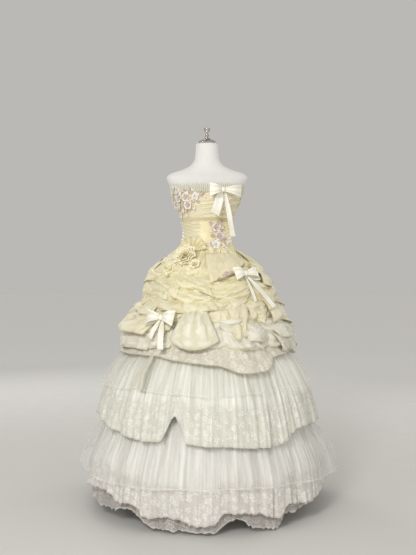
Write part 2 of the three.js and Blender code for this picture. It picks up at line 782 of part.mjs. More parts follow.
function bowTail(tail, lean) {
  const hang = THREE.MathUtils.degToRad(tail.swing);
  const place = (inset) => (u, v) => {
    const width = tail.width * (0.3 + 0.7 * Math.min(1, v * 2.8));
    const along = tail.length * v;
    const across = (u - 0.5) * width;
    const x = across * Math.cos(hang) + along * Math.sin(hang);
    const z = across * Math.sin(hang) - along * Math.cos(hang);
    return [x, -2.4 - lean * 5 * Math.sin(Math.PI * v) + inset, z];
  };
  return sheetWall(2, 4, place(0), place(RIBBON_CLOTH));
}

function satinBow(bow) {
  const group = new THREE.Group();
  const knot = { wide: 9, deep: 10.6, tall: bow.height * 0.2 };
  const ball = new THREE.SphereGeometry(1, 8, 6).rotateX(Math.PI / 2).scale(knot.wide, knot.deep, knot.tall);
  const knotMesh = named(`${bow.name}_knot`, ball, BOW_SATIN);
  knotMesh.position.y = -13;
  const left = named(`${bow.name}_left_loop`, bowLoop(bow.left, bow.height, -1), BOW_SATIN);
  left.position.x = -knot.wide - SEAM;
  const right = named(`${bow.name}_right_loop`, bowLoop(bow.right, bow.height, 1), BOW_SATIN);
  right.position.x = knot.wide + SEAM;
  group.add(knotMesh, left, right);
  bow.tails.forEach((tail) => {
    const mesh = named(`${bow.name}_${tail.side}_tail`, bowTail(tail, bow.lean > 0 ? 1 : 0), BOW_SATIN);
    mesh.position.x = tail.start;
    mesh.position.z = -knot.tall * 0.2;
    group.add(mesh);
  });
  return group;
}

// A flower of round petals in one piece, domed in front and flat behind
function flower(spec, material) {
  const columns = spec.petals * 3;
  const rings = [
    { out: 0.6, up: 0.8 },
    { out: 1, up: 0.4 },
    { out: 0.94, up: 0 },
  ];
  const points = [[0, -spec.height * 0.8, 0], [0, 0, 0]];
  const faces = [];
  rings.forEach((ring, level) => {
    for (let column = 0; column < columns; column += 1) {
      const angle = (column / columns) * 2 * Math.PI;
      const petal = 1 - 0.24 * ring.out * Math.abs(Math.cos((angle * spec.petals) / 2)) ** 3;
      const radius = spec.radius * ring.out * petal;
      const next = (column + 1) % columns;
      points.push([radius * Math.cos(angle), -spec.height * ring.up, radius * Math.sin(angle)]);
      const row = 2 + level * columns;
      if (level === 0) faces.push([0, row + column, row + next]);
      if (level > 0) {
        faces.push([row - columns + column, row + column, row + next]);
        faces.push([row - columns + column, row + next, row - columns + next]);
      }
      if (level === rings.length - 1) faces.push([1, row + next, row + column]);
    }
  });
  return named(spec.name, facetted(points, faces), material);
}

// Pleated fan of organza behind the hip rose
function hipFan() {
  const fan = { inner: 8, outer: 74, pleats: 6, ridge: 4, from: 20, to: 160, thick: SKIRT_CLOTH };
  const place = (inset) => (u, v) => {
    const angle = THREE.MathUtils.degToRad(fan.to + (fan.from - fan.to) * u);
    const radius = fan.outer + (fan.inner - fan.outer) * v;
    const pleat = fan.ridge * (1 - v) * (1 - Math.cos(u * fan.pleats * 2 * Math.PI)) * 0.5;
    return [radius * Math.cos(angle), -pleat - 3 + inset, radius * Math.sin(angle)];
  };
  return named('hip_fan', sheetWall(fan.pleats * 2, 2, place(0), place(fan.thick)), ORGANZA);
}

function backButton(index) {
  const button = { radius: 6, height: 5, first: NECKLINE - 32, pitch: 34 };
  const shape = turned([[0, 0], [button.radius, 0], [button.radius, 2.4], [4, 4.4], [0, button.height]], 8);
  shape.rotateX(Math.PI / 2);
  const mesh = named(`back_button_${index + 1}`, shape, SATIN);
  return { mesh, turn: 180, z: button.first - index * button.pitch };
}

// Slides a piece in from outside, in the direction of one turn, until it is a small gap from what carries it
function slideIn(piece, turn, carriers, ease = 0) {
  const out = new THREE.Vector3(...around(turn, 1, 0));
  piece.position.addScaledVector(out, FAR_OUT);
  piece.updateMatrixWorld(true);
  const inward = out.clone().negate();
  const meshes = [];
  piece.traverse((object) => object.isMesh && meshes.push(object));
  const gap = Math.min(fallTo(meshes, carriers, inward), fallTo(carriers, meshes, out));
  piece.position.addScaledVector(inward, gap - TRIM_GAP - ease);
  piece.updateMatrixWorld(true);
  return piece;
}

// Turns a trim to face outwards at its place, leans it back with the slope, and slides it in
function seat(trim, place, carriers) {
  const radians = THREE.MathUtils.degToRad;
  trim.rotation.set(-radians(place.lean ?? 0), 0, radians(place.turn), 'ZYX');
  trim.position.set(0, 0, place.z);
  return slideIn(trim, place.turn, carriers, place.ease);
}

// Shortest way from the points of some pieces to the faces of others in one direction
function fallTo(from, onto, direction) {
  const caster = new THREE.Raycaster();
  const bounds = new THREE.Box3();
  const swept = new THREE.Box3();
  const step = direction.clone().multiplyScalar(2000);
  onto.forEach((mesh) => {
    mesh.material.side = THREE.DoubleSide;
    bounds.union(new THREE.Box3().setFromObject(mesh));
  });
  swept.copy(bounds).union(bounds.clone().translate(step.clone().negate())).expandByScalar(1);
  let shortest = Infinity;
  const point = new THREE.Vector3();
  from.forEach((mesh) => {
    const corners = mesh.geometry.attributes.position;
    for (let i = 0; i < corners.count; i += 1) {
      point.fromBufferAttribute(corners, i).applyMatrix4(mesh.matrixWorld);
      if (swept.containsPoint(point)) {
        caster.set(point, direction);
        const hit = caster.intersectObjects(onto, false)[0];
        if (hit) shortest = Math.min(shortest, hit.distance);
      }
    }
  });
  return shortest;
}

function gown() {
  const group = new THREE.Group();
  const bodicePieces = bodice();
  const rows = PUFF_ROWS.map(puffRow);
  const overlay = peplum();
  const flounce = gatheredTier(LACE_FLOUNCE, LACE);
  const puff = frontPuff();
  const upperTulle = gatheredTier(UPPER_TULLE, WHITE_TULLE);
  const strip = sheerStrip();
  group.add(bodicePieces, neckFrill(), foundation(), ...rows, overlay, puff);
  group.add(gatheredTier(NET, GREY_NET));
  group.add(gatheredTier(LOWER_TIER, WHITE_TULLE), gatheredTier(LOWER_TULLE, WHITE_TULLE));
  group.add(gatheredTier(UPPER_TIER, WHITE_TULLE), upperTulle, flounce, strip);
  group.updateMatrixWorld(true);

  slideIn(overlay, 24, [...bodicePieces.children, ...rows]);
  slideIn(puff, FRONT_PUFF.turn, rows);
  slideIn(strip, STRIP_TURN, [flounce, upperTulle]);
  const carriers = [...bodicePieces.children, group.getObjectByName('neck_frill'), ...rows, overlay, puff];
  const trim = (piece, place) => {
    seat(piece, place, carriers);
    piece.traverse((object) => object.isMesh && carriers.push(object));
    group.add(piece);
  };
  trim(hipFan(), { turn: -26, z: 1112, lean: 24 });
  FLOWERS.forEach((spec) => trim(flower(spec, spec.on === 'hip' ? CHIFFON : APPLIQUE), spec));
  BOWS.forEach((bow) => trim(satinBow(bow), bow));
  for (let index = 0; index < BACK_BUTTONS; index += 1) {
    const button = backButton(index);
    trim(button.mesh, button);
  }
  return group;
}

const ballGown = new THREE.Group();
ballGown.add(dressForm(), gown());

export default ballGown;
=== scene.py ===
import math
from bisect import bisect_right

import bmesh
import bpy
from mathutils import Matrix, Vector, noise


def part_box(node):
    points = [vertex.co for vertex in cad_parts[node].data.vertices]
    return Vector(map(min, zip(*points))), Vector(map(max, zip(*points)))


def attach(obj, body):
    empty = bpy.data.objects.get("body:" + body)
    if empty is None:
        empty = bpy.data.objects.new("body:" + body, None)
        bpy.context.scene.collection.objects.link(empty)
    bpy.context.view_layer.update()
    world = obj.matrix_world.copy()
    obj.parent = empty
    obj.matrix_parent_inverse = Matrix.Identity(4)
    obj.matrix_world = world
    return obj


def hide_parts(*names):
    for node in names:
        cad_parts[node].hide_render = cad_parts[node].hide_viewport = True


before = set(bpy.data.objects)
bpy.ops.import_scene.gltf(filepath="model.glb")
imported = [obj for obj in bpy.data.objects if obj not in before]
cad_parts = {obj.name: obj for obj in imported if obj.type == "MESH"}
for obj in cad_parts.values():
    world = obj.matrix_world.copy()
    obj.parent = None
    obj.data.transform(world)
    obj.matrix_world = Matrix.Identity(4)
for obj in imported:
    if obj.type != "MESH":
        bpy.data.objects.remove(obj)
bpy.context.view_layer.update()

# The room: a pale painted floor that is painted lighter away from the gown and glows faintly there. This is painted
# light that makes up for the lamps falling off, so the far floor meets the pale background. Soft lamps, the largest
# high at the front left.
# The camera stands level in front of the form, a little under the bust.
FLOOR_WIDTH = 90
FLOOR_NEAR = "#dbd9d5"
FLOOR_FAR_PAINTED_LIGHT = "#fbfaf8"
CAMERA_PLACE = (0.0045, -3.41, 0.99)
CAMERA_LENS = 49.1


def tint(code):
    """A colour from its six-digit code, in the form that the nodes take."""
    parts = [int(code[i:i + 2], 16) / 255 for i in (1, 3, 5)]
    return tuple(p / 12.92 if p <= 0.04045 else ((p + 0.055) / 1.055) ** 2.4 for p in parts) + (1,)


class Thread:
    """One output in a finish. Sums on it are written as plain expressions."""

    def __init__(self, finish, socket):
        self.finish = finish
        self.socket = socket

    def sum(self, operation, *terms):
        return self.finish.node("Math", {"operation": operation}, dict(enumerate(terms)))

    def __add__(self, other):
        return self.sum("ADD", self, other)

    def __sub__(self, other):
        return self.sum("SUBTRACT", self, other)

    def __rsub__(self, other):
        return self.sum("SUBTRACT", other, self)

    def __mul__(self, other):
        return self.sum("MULTIPLY", self, other)

    def __abs__(self):
        return self.sum("ABSOLUTE", self)

    __radd__ = __add__
    __rmul__ = __mul__

    def step(self, low, high, first=0.0, last=1.0):
        """A soft change from first to last while the value goes from low to high."""
        return self.finish.node(
            "MapRange", {"interpolation_type": "SMOOTHSTEP"},
            {"Value": self, "From Min": low, "From Max": high, "To Min": first, "To Max": last},
        )


class Finish:
    """The material of one kind of surface."""

    def __init__(self, name):
        self.material = bpy.data.materials.new(name)
        self.material.use_nodes = True
        self.tree = self.material.node_tree
        self.tree.nodes.clear()

    def node(self, kind, settings=None, inputs=None, output=0):
        made = self.tree.nodes.new("ShaderNode" + kind)
        for name, value in (settings or {}).items():
            setattr(made, name, value)
        for key, value in (inputs or {}).items():
            if isinstance(value, Thread):
                self.tree.links.new(value.socket, made.inputs[key])
            else:
                made.inputs[key].default_value = value
        return Thread(self, made.outputs[output]) if made.outputs else None

    def mix(self, share, first, second):
        """One colour over another, by a share from 0 to 1."""
        return self.node("Mix", {"data_type": "RGBA"}, {0: share, 6: first, 7: second}, 2)

    def cut(self, across, down):
        """The place on the flat cut of the cloth, counted in so many repeats a metre."""
        place = self.node("TexCoord", output="UV")
        return self.node("Mapping", None, {"Vector": place, "Scale": (across, down, 1)})

    def solid(self, scale):
        """The place in the object itself, counted in so many repeats a metre."""
        place = self.node("TexCoord", output="Object")
        return self.node("Mapping", None, {"Vector": place, "Scale": (scale, scale, scale)})

    def along(self, axis):
        """Metres along the flat cut: axis 0 runs across it and axis 1 runs down it."""
        return self.node("SeparateXYZ", None, {0: self.cut(1, 1)}, axis)

    def fold(self):
        """The fold value laid down with the cloth, 0 in a trough and 1 on a crest. The finishes mix it into their
        colours as painted shade where it is low and painted light where it is high.
        """
        return self.node("Attribute", {"attribute_name": "fold"}, None, "Fac")

    def cloud(self, place, detail=3.0, rough=0.5):
        return self.node("TexNoise", None, {"Vector": place, "Scale": 1.0, "Detail": detail, "Roughness": rough})

    def weave(self, threads):
        """Threads over and under each other, so many pairs a metre each way."""
        place = self.cut(threads, threads)
        parts = [self.node("SeparateXYZ", None, {0: place}, axis) for axis in (0, 1)]
        warp, weft = (part.sum("SINE", part * (2 * math.pi)) for part in parts)
        return warp * weft * 0.5 + 0.5

    def bump(self, height, depth, strength=1.0):
        return self.node("Bump", None, {"Height": height, "Distance": depth, "Strength": strength})

    def surface(self, **sockets):
        shader = self.node("BsdfPrincipled", None, {k.replace("_", " "): v for k, v in sockets.items()})
        self.node("OutputMaterial", None, {"Surface": shader})
        return self.material


floor_mesh = bmesh.new()
bmesh.ops.create_grid(floor_mesh, x_segments=4, y_segments=4, size=FLOOR_WIDTH / 2)
floor_data = bpy.data.meshes.new("floor")
floor_mesh.to_mesh(floor_data)
floor = bpy.data.objects.new("floor", floor_data)
bpy.context.scene.collection.objects.link(floor)
painted = Finish("painted_floor")
grain = painted.cloud(painted.solid(9), 4.0)
away = painted.node("VectorMath", {"operation": "LENGTH"}, {0: painted.solid(1)}, "Value")
# The far floor is painted lighter and given a faint glow: painted light where the lamps fall off.
far_painted_light_share = (away + grain).step(1.0, 7.0)
floor_data.materials.append(painted.surface(
    Base_Color=painted.mix(far_painted_light_share, tint(FLOOR_NEAR), tint(FLOOR_FAR_PAINTED_LIGHT)),
    Emission_Color=painted.mix(far_painted_light_share, tint("#000000"), tint(FLOOR_FAR_PAINTED_LIGHT)),
    Emission_Strength=0.025,
    Roughness=0.85,
    Normal=painted.bump(grain, 0.0006),
))

bpy.context.scene.view_settings.view_transform = "Standard"
world = bpy.data.worlds.new("room")
world.use_nodes = True
world.node_tree.nodes["Background"].inputs["Color"].default_value = tint("#f3f1ec")
world.node_tree.nodes["Background"].inputs["Strength"].default_value = 0.55
bpy.context.scene.world = world

LAMPS = [
    # name, place, width, watts
    ("front_left_lamp", (-1.3, -3.8, 2.9), 0.9, 76),
    ("front_right_lamp", (2.9, -2.6, 1.7), 1.2, 10),
    ("low_front_lamp", (-0.5, -4.2, 0.7), 1.4, 13),
    ("back_left_lamp", (-1.8, 3.6, 2.7), 1.6, 28),
    ("back_right_lamp", (2.6, 2.2, 2.2), 1.4, 12),
]
for name, place, width, watts in LAMPS:
    light = bpy.data.lights.new(name, "AREA")
    light.shape = "SQUARE"
    light.size = width
    light.energy = watts
    lamp = bpy.data.objects.new(name, light)
    lamp.location = place
    lamp.rotation_euler = (Vector((0, 0, 0.9)) - Vector(place)).to_track_quat("-Z", "Y").to_euler()
    bpy.context.scene.collection.objects.link(lamp)

lens = bpy.data.cameras.new("camera")
lens.sensor_fit = "VERTICAL"
lens.sensor_height = 36
lens.lens = CAMERA_LENS
camera = bpy.data.objects.new("camera", lens)
camera.location = CAMERA_PLACE
camera.rotation_euler = (math.radians(90), 0, 0)
bpy.context.scene.collection.objects.link(camera)
bpy.context.scene.camera = camera

# The dress form: a limbless body with a neck, moulded in one piece and covered with pale matt jersey.
# Sizes are in millimetres: half widths to the side, the front and the back at each height.
FORM = [
    # height, side, front, back
    (860, 150, 98, 112), (980, 165, 112, 128), (1100, 128, 118, 104), (1140, 113, 101, 91),
    (1195, 105, 91, 83), (1236, 112, 99, 85), (1280, 124, 110, 88), (1320, 142, 120, 92),
    (1355, 152, 121, 94), (1388, 160, 108, 94), (1415, 173, 92, 88), (1438, 182, 76, 78),
    (1456, 166, 62, 66), (1474, 113, 54, 58), (1494, 74, 48, 53), (1525, 54, 45, 49), (1590, 49, 44, 46),
]
BUST = {"turn": 32, "spread": 20, "height": 1335, "tall": 40, "depth": 14}


def smooth_line(points):
    """A smooth line through pairs of a key and a value, which never overshoots them."""
    keys = [key for key, _ in points]
    values = [value for _, value in points]
    slopes = [(values[i + 1] - values[i]) / (keys[i + 1] - keys[i]) for i in range(len(keys) - 1)]
    tangents = [slopes[0]]
    for before, after in zip(slopes, slopes[1:]):
        tangents.append(0 if before * after <= 0 else 2 * before * after / (before + after))
    tangents.append(slopes[-1])

    def at(key):
        if key <= keys[0]:
            return values[0]
        if key >= keys[-1]:
            return values[-1]
        i = bisect_right(keys, key) - 1
        span = keys[i + 1] - keys[i]
        t = (key - keys[i]) / span
        rise = values[i + 1] - values[i]
        start, end = tangents[i] * span, tangents[i + 1] * span
        return (values[i] + start * t + (3 * rise - 2 * start - end) * t * t
                + (start + end - 2 * rise) * t ** 3)

    return at


def straight_line(points):
    """Straight lines between pairs of a key and a value."""
    keys = [key for key, _ in points]

    def at(key):
        i = min(max(bisect_right(keys, key) - 1, 0), len(keys) - 2)
        t = (key - keys[i]) / (keys[i + 1] - keys[i])
        return points[i][1] + (points[i + 1][1] - points[i][1]) * t

    return at


def oval(side, front, back, turn):
    """Distance from the axis to an oval section in one direction."""
    angle = math.radians(turn)
    deep = front if math.cos(angle) > 0 else back
    return 1 / math.hypot(math.sin(angle) / side, math.cos(angle) / deep)


form_lines = [smooth_line([(row[0], row[column]) for row in FORM]) for column in (1, 2, 3)]


def form_radius(turn, z):
    bust = math.exp(-(((z - BUST["height"]) / BUST["tall"]) ** 2))
    rounds = sum(math.exp(-(((turn - side * BUST["turn"]) / BUST["spread"]) ** 2)) for side in (1, -1))
    return oval(*(line(z) for line in form_lines), turn) + BUST["depth"] * bust * rounds


def around(turn, radius, z):
    """A point in metres, from its turn in degrees and its radius and height in millimetres."""
    angle = math.radians(turn)
    return Vector((radius * math.sin(angle), -radius * math.cos(angle), z)) / 1000


def drawn_out(across, down, flat, place, closed=False):
    """Cloth laid out flat as a grid, then moved point by point to where it hangs.

    place takes shares across and down and gives a point and a fold value, 0 in a trough and 1 on a crest, which the
    finishes turn into painted shade and painted light."""
    cloth = bmesh.new()
    bmesh.ops.create_grid(cloth, x_segments=across, y_segments=down, size=0.5)
    chart = cloth.loops.layers.uv.new("cut")
    fold = cloth.verts.layers.float.new("fold")
    for face in cloth.faces:
        face.smooth = True
        for loop in face.loops:
            loop[chart].uv = ((loop.vert.co.x + 0.5) * flat[0], (0.5 - loop.vert.co.y) * flat[1])
    for vert in cloth.verts:
        vert.co, vert[fold] = place(vert.co.x + 0.5, 0.5 - vert.co.y)
    if closed:
        edge = [vert for vert in cloth.verts if vert.is_boundary]
        bmesh.ops.remove_doubles(cloth, verts=edge, dist=0.00002)
    return cloth


def made(name, mesh, *finishes, wall=0.0):
    """The object of a finished mesh, with a wall where the cloth's edge shows."""
    data = bpy.data.meshes.new(name)
    mesh.to_mesh(data)
    mesh.free()
    piece = bpy.data.objects.new(name, data)
    bpy.context.scene.collection.objects.link(piece)
    for finish in finishes:
        data.materials.append(finish)
    if wall:
        layer = piece.modifiers.new("wall", "SOLIDIFY")
        layer.thickness = wall / 1000
        layer.offset = -1
    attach(piece, "root")
    return piece


def sew_to(whole, part, layer=0):
    """Adds one more part to the mesh of a piece, in the finish of the given number."""
    for face in part.faces:
        face.material_index = layer
    data = bpy.data.meshes.new("part")
    part.to_mesh(data)
    part.free()
    whole.from_mesh(data)
    bpy.data.meshes.remove(data)


def body_place(u, v):
    turn = (u - 0.5) * 360
    z = FORM[-1][0] + (FORM[0][0] - FORM[-1][0]) * v
    return around(turn, form_radius(turn, z), z), 0.5


body_mesh = drawn_out(96, 120, (0.9, 0.73), body_place, closed=True)
rims = [edge for edge in body_mesh.edges if edge.is_boundary]
bmesh.ops.holes_fill(body_mesh, edges=rims, sides=0)
bmesh.ops.recalc_face_normals(body_mesh, faces=body_mesh.faces)

jersey = Finish("pale_jersey")
knit = jersey.weave(700)
soft = jersey.cloud(jersey.solid(14))
jersey_finish = jersey.surface(
    Base_Color=jersey.mix(soft * 0.5, tint("#ecebe7"), tint("#e0dfda")),
    Roughness=0.62,
    Sheen_Weight=0.25,
    Sheen_Roughness=0.4,
    Normal=jersey.bump(knit, 0.0002, 0.5),
)
form_body = made("form_body_covered", body_mesh, jersey_finish)
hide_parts("form_body")

# The metal top of the form: a low dome laid with small bright chips, and a turned finial that ends in an open
# cup. Both are spun and polished. The pole and the round base under the skirts are plain turned steel.
CAP = [(0, 0), (45, 0), (45.5, 2), (45, 5), (42, 9.5), (36, 14), (28, 17.5), (18, 20.3), (8, 21.8), (0, 22)]
FINIAL = [
    (0, 0), (16, 0), (17, 1), (17, 3), (16, 4.2), (9, 6.4), (6.2, 9), (6.4, 11.5), (10.4, 14.4), (12, 18),
    (10.6, 21.4), (7.2, 24), (5.6, 27), (6.4, 30), (9.6, 33.5), (14, 39), (16.8, 43), (18.6, 47),
    (17, 46.6), (13, 41), (8, 37), (0, 36),
]


def spun(profile, foot, sides=48):
    """A turned shape from half of its outline, in millimetres, standing on a height."""
    shape = bmesh.new()
    line = [shape.verts.new((radius / 1000, 0, (foot + height) / 1000)) for radius, height in profile]
    edges = [shape.edges.new(pair) for pair in zip(line, line[1:])]
    bmesh.ops.spin(shape, geom=line + edges, cent=(0, 0, 0), axis=(0, 0, 1), angle=2 * math.pi,
                   steps=sides, use_merge=True)
    bmesh.ops.remove_doubles(shape, verts=shape.verts, dist=0.00001)
    bmesh.ops.recalc_face_normals(shape, faces=shape.faces)
    for face in shape.faces:
        face.smooth = True
    return shape


chips = Finish("bright_chips")
chip_place = chips.solid(150)
chip = chips.node("TexVoronoi", None, {"Vector": chip_place, "Scale": 1.0}, "Color")
joint = chips.node("TexVoronoi", {"feature": "DISTANCE_TO_EDGE"}, {"Vector": chip_place, "Scale": 1.0})
chip_finish = chips.surface(
    Base_Color=chips.mix(joint.step(0.02, 0.09), tint("#57534c"), chips.mix(0.25, tint("#dcdad3"), chip)),
    Metallic=0.9,
    Roughness=joint.step(0.02, 0.1, 0.5, 0.14),
    Normal=chips.bump(joint.step(0.0, 0.12), 0.0006),
)
polished = Finish("polished_metal")
wear = polished.cloud(polished.solid(90))
polished_finish = polished.surface(
    Base_Color=polished.mix(wear, tint("#d9d7d2"), tint("#b7b4ae")),
    Metallic=1.0,
    Roughness=wear.step(0.3, 0.8, 0.12, 0.26),
    Normal=polished.bump(polished.cloud(polished.solid(900)), 0.00005),
)
neck_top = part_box("form_neck_cap")[0].z * 1000
neck_cap = made("form_cap_domed", spun(CAP, neck_top), chip_finish)
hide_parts("form_neck_cap")
finial = made("form_finial_turned", spun(FINIAL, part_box("form_finial")[0].z * 1000, 32), polished_finish)
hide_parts("form_finial")

brushed = Finish("brushed_steel")
lines = brushed.cloud(brushed.node("Mapping", None, {
    "Vector": brushed.node("TexCoord", output="Object"), "Scale": (30, 30, 1200),
}), 2.0)
brushed_finish = brushed.surface(
    Base_Color=brushed.mix(lines, tint("#c4c2be"), tint("#a8a6a2")),
    Metallic=1.0,
    Roughness=lines.step(0.2, 0.8, 0.28, 0.42),
    Normal=brushed.bump(lines, 0.0001),
)
for node in ("form_pole", "form_base"):
    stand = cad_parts[node]
    stand.data.materials.clear()
    stand.data.materials.append(brushed_finish)

# The foundation skirt: smooth ivory satin cut in gores, the layer that every tier is sewn to. It shows as a
# pale ground through the sheer tiers.
BODICE_EDGE = 1100
WEAR_GAP = 0.6
BODICE_CLOTH = 2
FOUNDATION = {"top": 1099.5, "hem": 300}
SKIRT_LINE = [
    # height, side, front, back
    (0, 505, 505, 505), (100, 500, 500, 500), (200, 490, 490, 490), (300, 470, 470, 470),
    (400, 440, 440, 440), (500, 405, 405, 405), (600, 370, 370, 370), (700, 335, 335, 335),
    (800, 300, 300, 300), (900, 262, 262, 262), (1000, 215, 215, 215), (1050, 178, 174, 168),
    (1100, 130.6, 120.6, 106.6),
]
skirt_lines = [straight_line([(row[0], row[column]) for row in SKIRT_LINE]) for column in (1, 2, 3)]


def bodice_radius(turn, z):
    return form_radius(turn, z) + WEAR_GAP + BODICE_CLOTH


def line_radius(turn, z):
    """The line that every skirt layer is lifted from."""
    if z >= BODICE_EDGE:
        return bodice_radius(turn, z)
    return oval(*(line(z) for line in skirt_lines), turn)


def half_turn(turn):
    """The same turn, from -180 to 180."""
    return (turn + 180) % 360 - 180


def foundation_place(u, v):
    turn = (u - 0.5) * 360
    z = FOUNDATION["top"] + (FOUNDATION["hem"] - FOUNDATION["top"]) * v
    return around(turn, line_radius(turn, z) - 1, z), 0.5


satin = Finish("ivory_lining_satin")
satin_cloud = satin.cloud(satin.cut(6, 3))
lining_finish = satin.surface(
    Base_Color=satin.mix(satin_cloud, tint("#efecdd"), tint("#e4dfca")),
    Roughness=0.42,
    Sheen_Weight=0.2,
    Normal=satin.bump(satin.weave(500) * 0.3 + satin_cloud, 0.0008, 0.6),
)
foundation = made(
    "foundation_lining",
    drawn_out(120, 40, (2.4, 0.86), foundation_place, closed=True),
    lining_finish,
    wall=0.8,
)
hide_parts("foundation_skirt")

# The net underskirt: the lowest hem, of stiff soft-grey net scattered with pale glitter. It is gathered on to
# the foundation under the other tiers.
NET = {
    "top": 355, "gathers": 24, "depth": (0.4, 8), "points": 12,
    "lift": smooth_line([(20, 9), (100, 5), (200, 0), (300, -9), (355, -4.3)]),
    "hem": smooth_line([
        (-180, 38), (-150, 18), (-120, 52), (-90, 36), (-50, 42), (-38, 58), (-22, 8), (-9, 5), (-4, 2),
        (3, 6), (13, 50), (22, 10), (33, 1), (39.5, 44), (60, 54), (85, 92), (120, 28), (150, 54), (180, 38),
    ]),
}
FLARE = {"from": 350, "over": 65}


def limited(value):
    """The same value, kept from 0 to 1."""
    return min(1.0, max(0.0, value))


def gathered_place(tier, fine, flute):
    """How a gathered tier hangs: its main gathers, finer ones between them, and wide flutes at the hem."""
    gathers = tier["gathers"]

    def place(u, v):
        even = u * 360
        uneven = 2.2 * math.sin(math.radians(even * 5)) * (12 / gathers)
        turn = half_turn(even + uneven)
        z = tier["top"] + (tier["hem"](turn) - tier["top"]) * v
        circle = Vector((math.cos(2 * math.pi * u), math.sin(2 * math.pi * u), 0))
        top, hem = tier["depth"]
        depth = (top + (hem - top) * v) * (0.65 + 0.5 * noise.noise(circle * 6 + Vector((0, 0, v))))
        drift = 2.4 * noise.noise(circle * 9 + Vector((3, 0, 0.9 * v)))
        main = math.cos(2 * math.pi * gathers * u + 0.8 * drift)
        second = math.cos(2 * math.pi * int(gathers * 2.3) * u + 2.6 * drift)
        third = math.cos(2 * math.pi * int(gathers * 4.3) * u - 4 * drift + 1.2 * v)
        gap = noise.noise(circle * 14 + Vector((0, 5, 1.5 * v)))
        open_out = min(1.0, 0.35 + 1.6 * v)
        small = fine * open_out * ((3.2 + 3 * gap) * second + (1.9 - 1.6 * gap) * third)
        wide = flute * v * v * math.cos(2 * math.pi * 11 * u + 2 * math.sin(4 * math.pi * u))
        wave = depth * main + small * min(1.0, 0.15 + 4 * v) + wide
        # The fold value for painted light on the crests of the gathers and painted shade between them.
        crest = 0.5 + 0.12 * main + (0.2 + 0.2 * gap) * second + (0.16 - 0.1 * gap) * third
        across = math.sin(math.radians(turn))
        loose = limited((FLARE["from"] - z) / FLARE["over"])
        side = tier.get("flare", (0, 0))[across > 0] * across ** 4 * loose * loose * (3 - 2 * loose)
        zigzag = tier.get("points", 0) * v ** 6 * abs(math.cos(math.pi * 21 * u + 3 * drift)) ** 0.7
        return around(turn, line_radius(turn, z) + tier["lift"](z) + side + wave, z + zigzag), crest

    return place


net = Finish("glitter_net")
mesh_hole = net.node("TexVoronoi", {"feature": "DISTANCE_TO_EDGE", "voronoi_dimensions": "2D"},
                     {"Vector": net.cut(260, 260), "Scale": 1.0})
speck = net.node("TexVoronoi", {"voronoi_dimensions": "2D"}, {"Vector": net.cut(150, 150), "Scale": 1.0})
glint = speck.step(0.18, 0.3, 1.0, 0.0)
net_fold_shade = net.fold()
net_hem = net.along(1).step(0.325, 0.334)
# Painted shade in the troughs of the gathers and painted light on their crests.
net_colour = net.mix(net_fold_shade, tint("#cbc1ba"), tint("#efe8e1"))
net_finish = net.surface(
    Base_Color=net.mix(glint, net_colour, tint("#fffdf4")),
    Roughness=glint.step(0.0, 1.0, 0.75, 0.2),
    Alpha=(glint * 0.6 + 0.46 + mesh_hole.step(0.05, 0.16, 0.24, 0.0) + net_hem * 0.3).step(0.0, 1.0),
    Normal=net.bump(glint + mesh_hole.step(0.03, 0.12, 1.0, 0.0), 0.0005),
)
net_skirt = made(
    "glitter_net_gathered",
    drawn_out(336, 24, (3.6, 0.335), gathered_place(NET, 1.0, 3.0), closed=True),
    net_finish,
)
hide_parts("glitter_net")

# The lower tier: white tulle over satin in close gathers, with a band of floral lace set into its lower third
# and a narrow turned hem.
LOWER_TIER = {
    "top": 440, "gathers": 28, "depth": (0.4, 8), "points": 9,
    "lift": smooth_line([
        (40, 31), (100, 28), (200, 26), (250, 21), (300, 9.5), (340, 6.5), (400, 7), (440, 2.2),
    ]),
    "hem": smooth_line([
        (-180, 70), (-150, 58), (-120, 95), (-90, 72), (-50, 118), (-43, 82), (-35, 92), (-26, 54), (-14, 62),
        (-9, 44), (-3, 34), (3, 46), (8, 80), (22, 70), (33, 42), (38, 88), (50, 74), (85, 108), (120, 66),
        (150, 92), (180, 70),
    ]),
}


def flower_lace(finish, across, down):
    """Where the thread of a floral lace is thick: five-petalled flowers, their outlines and winding stems."""
    place = finish.cut(across, down)
    centre = finish.node("TexVoronoi", {"voronoi_dimensions": "2D"},
                         {"Vector": place, "Scale": 1.0, "Randomness": 0.75}, "Position")
    away = finish.node("VectorMath", {"operation": "SUBTRACT"}, {0: place, 1: centre})
    far = finish.node("VectorMath", {"operation": "LENGTH"}, {0: away}, "Value")
    x, y = (finish.node("SeparateXYZ", None, {0: away}, axis) for axis in (0, 1))
    angle = x.sum("ARCTAN2", y, x)
    petals = x.sum("COSINE", angle * 5.0)
    rim = far * (1.25 - petals * 0.3)
    flower = rim.step(0.3, 0.36, 1.0, 0.0) * far.step(0.05, 0.09)
    outline = abs(rim - 0.33).step(0.02, 0.06, 1.0, 0.0)
    stems = abs(finish.cloud(finish.cut(across * 1.7, down * 1.7), 1.0) - 0.5).step(0.015, 0.04, 1.0, 0.0)
    dots = finish.node("TexVoronoi", {"voronoi_dimensions": "2D"},
                       {"Vector": finish.cut(across * 5, down * 5), "Scale": 1.0}).step(0.2, 0.34, 1.0, 0.0)
    return (flower * 0.6 + outline * 0.6 + stems * 0.7 + dots * 0.25).step(0.0, 1.0)


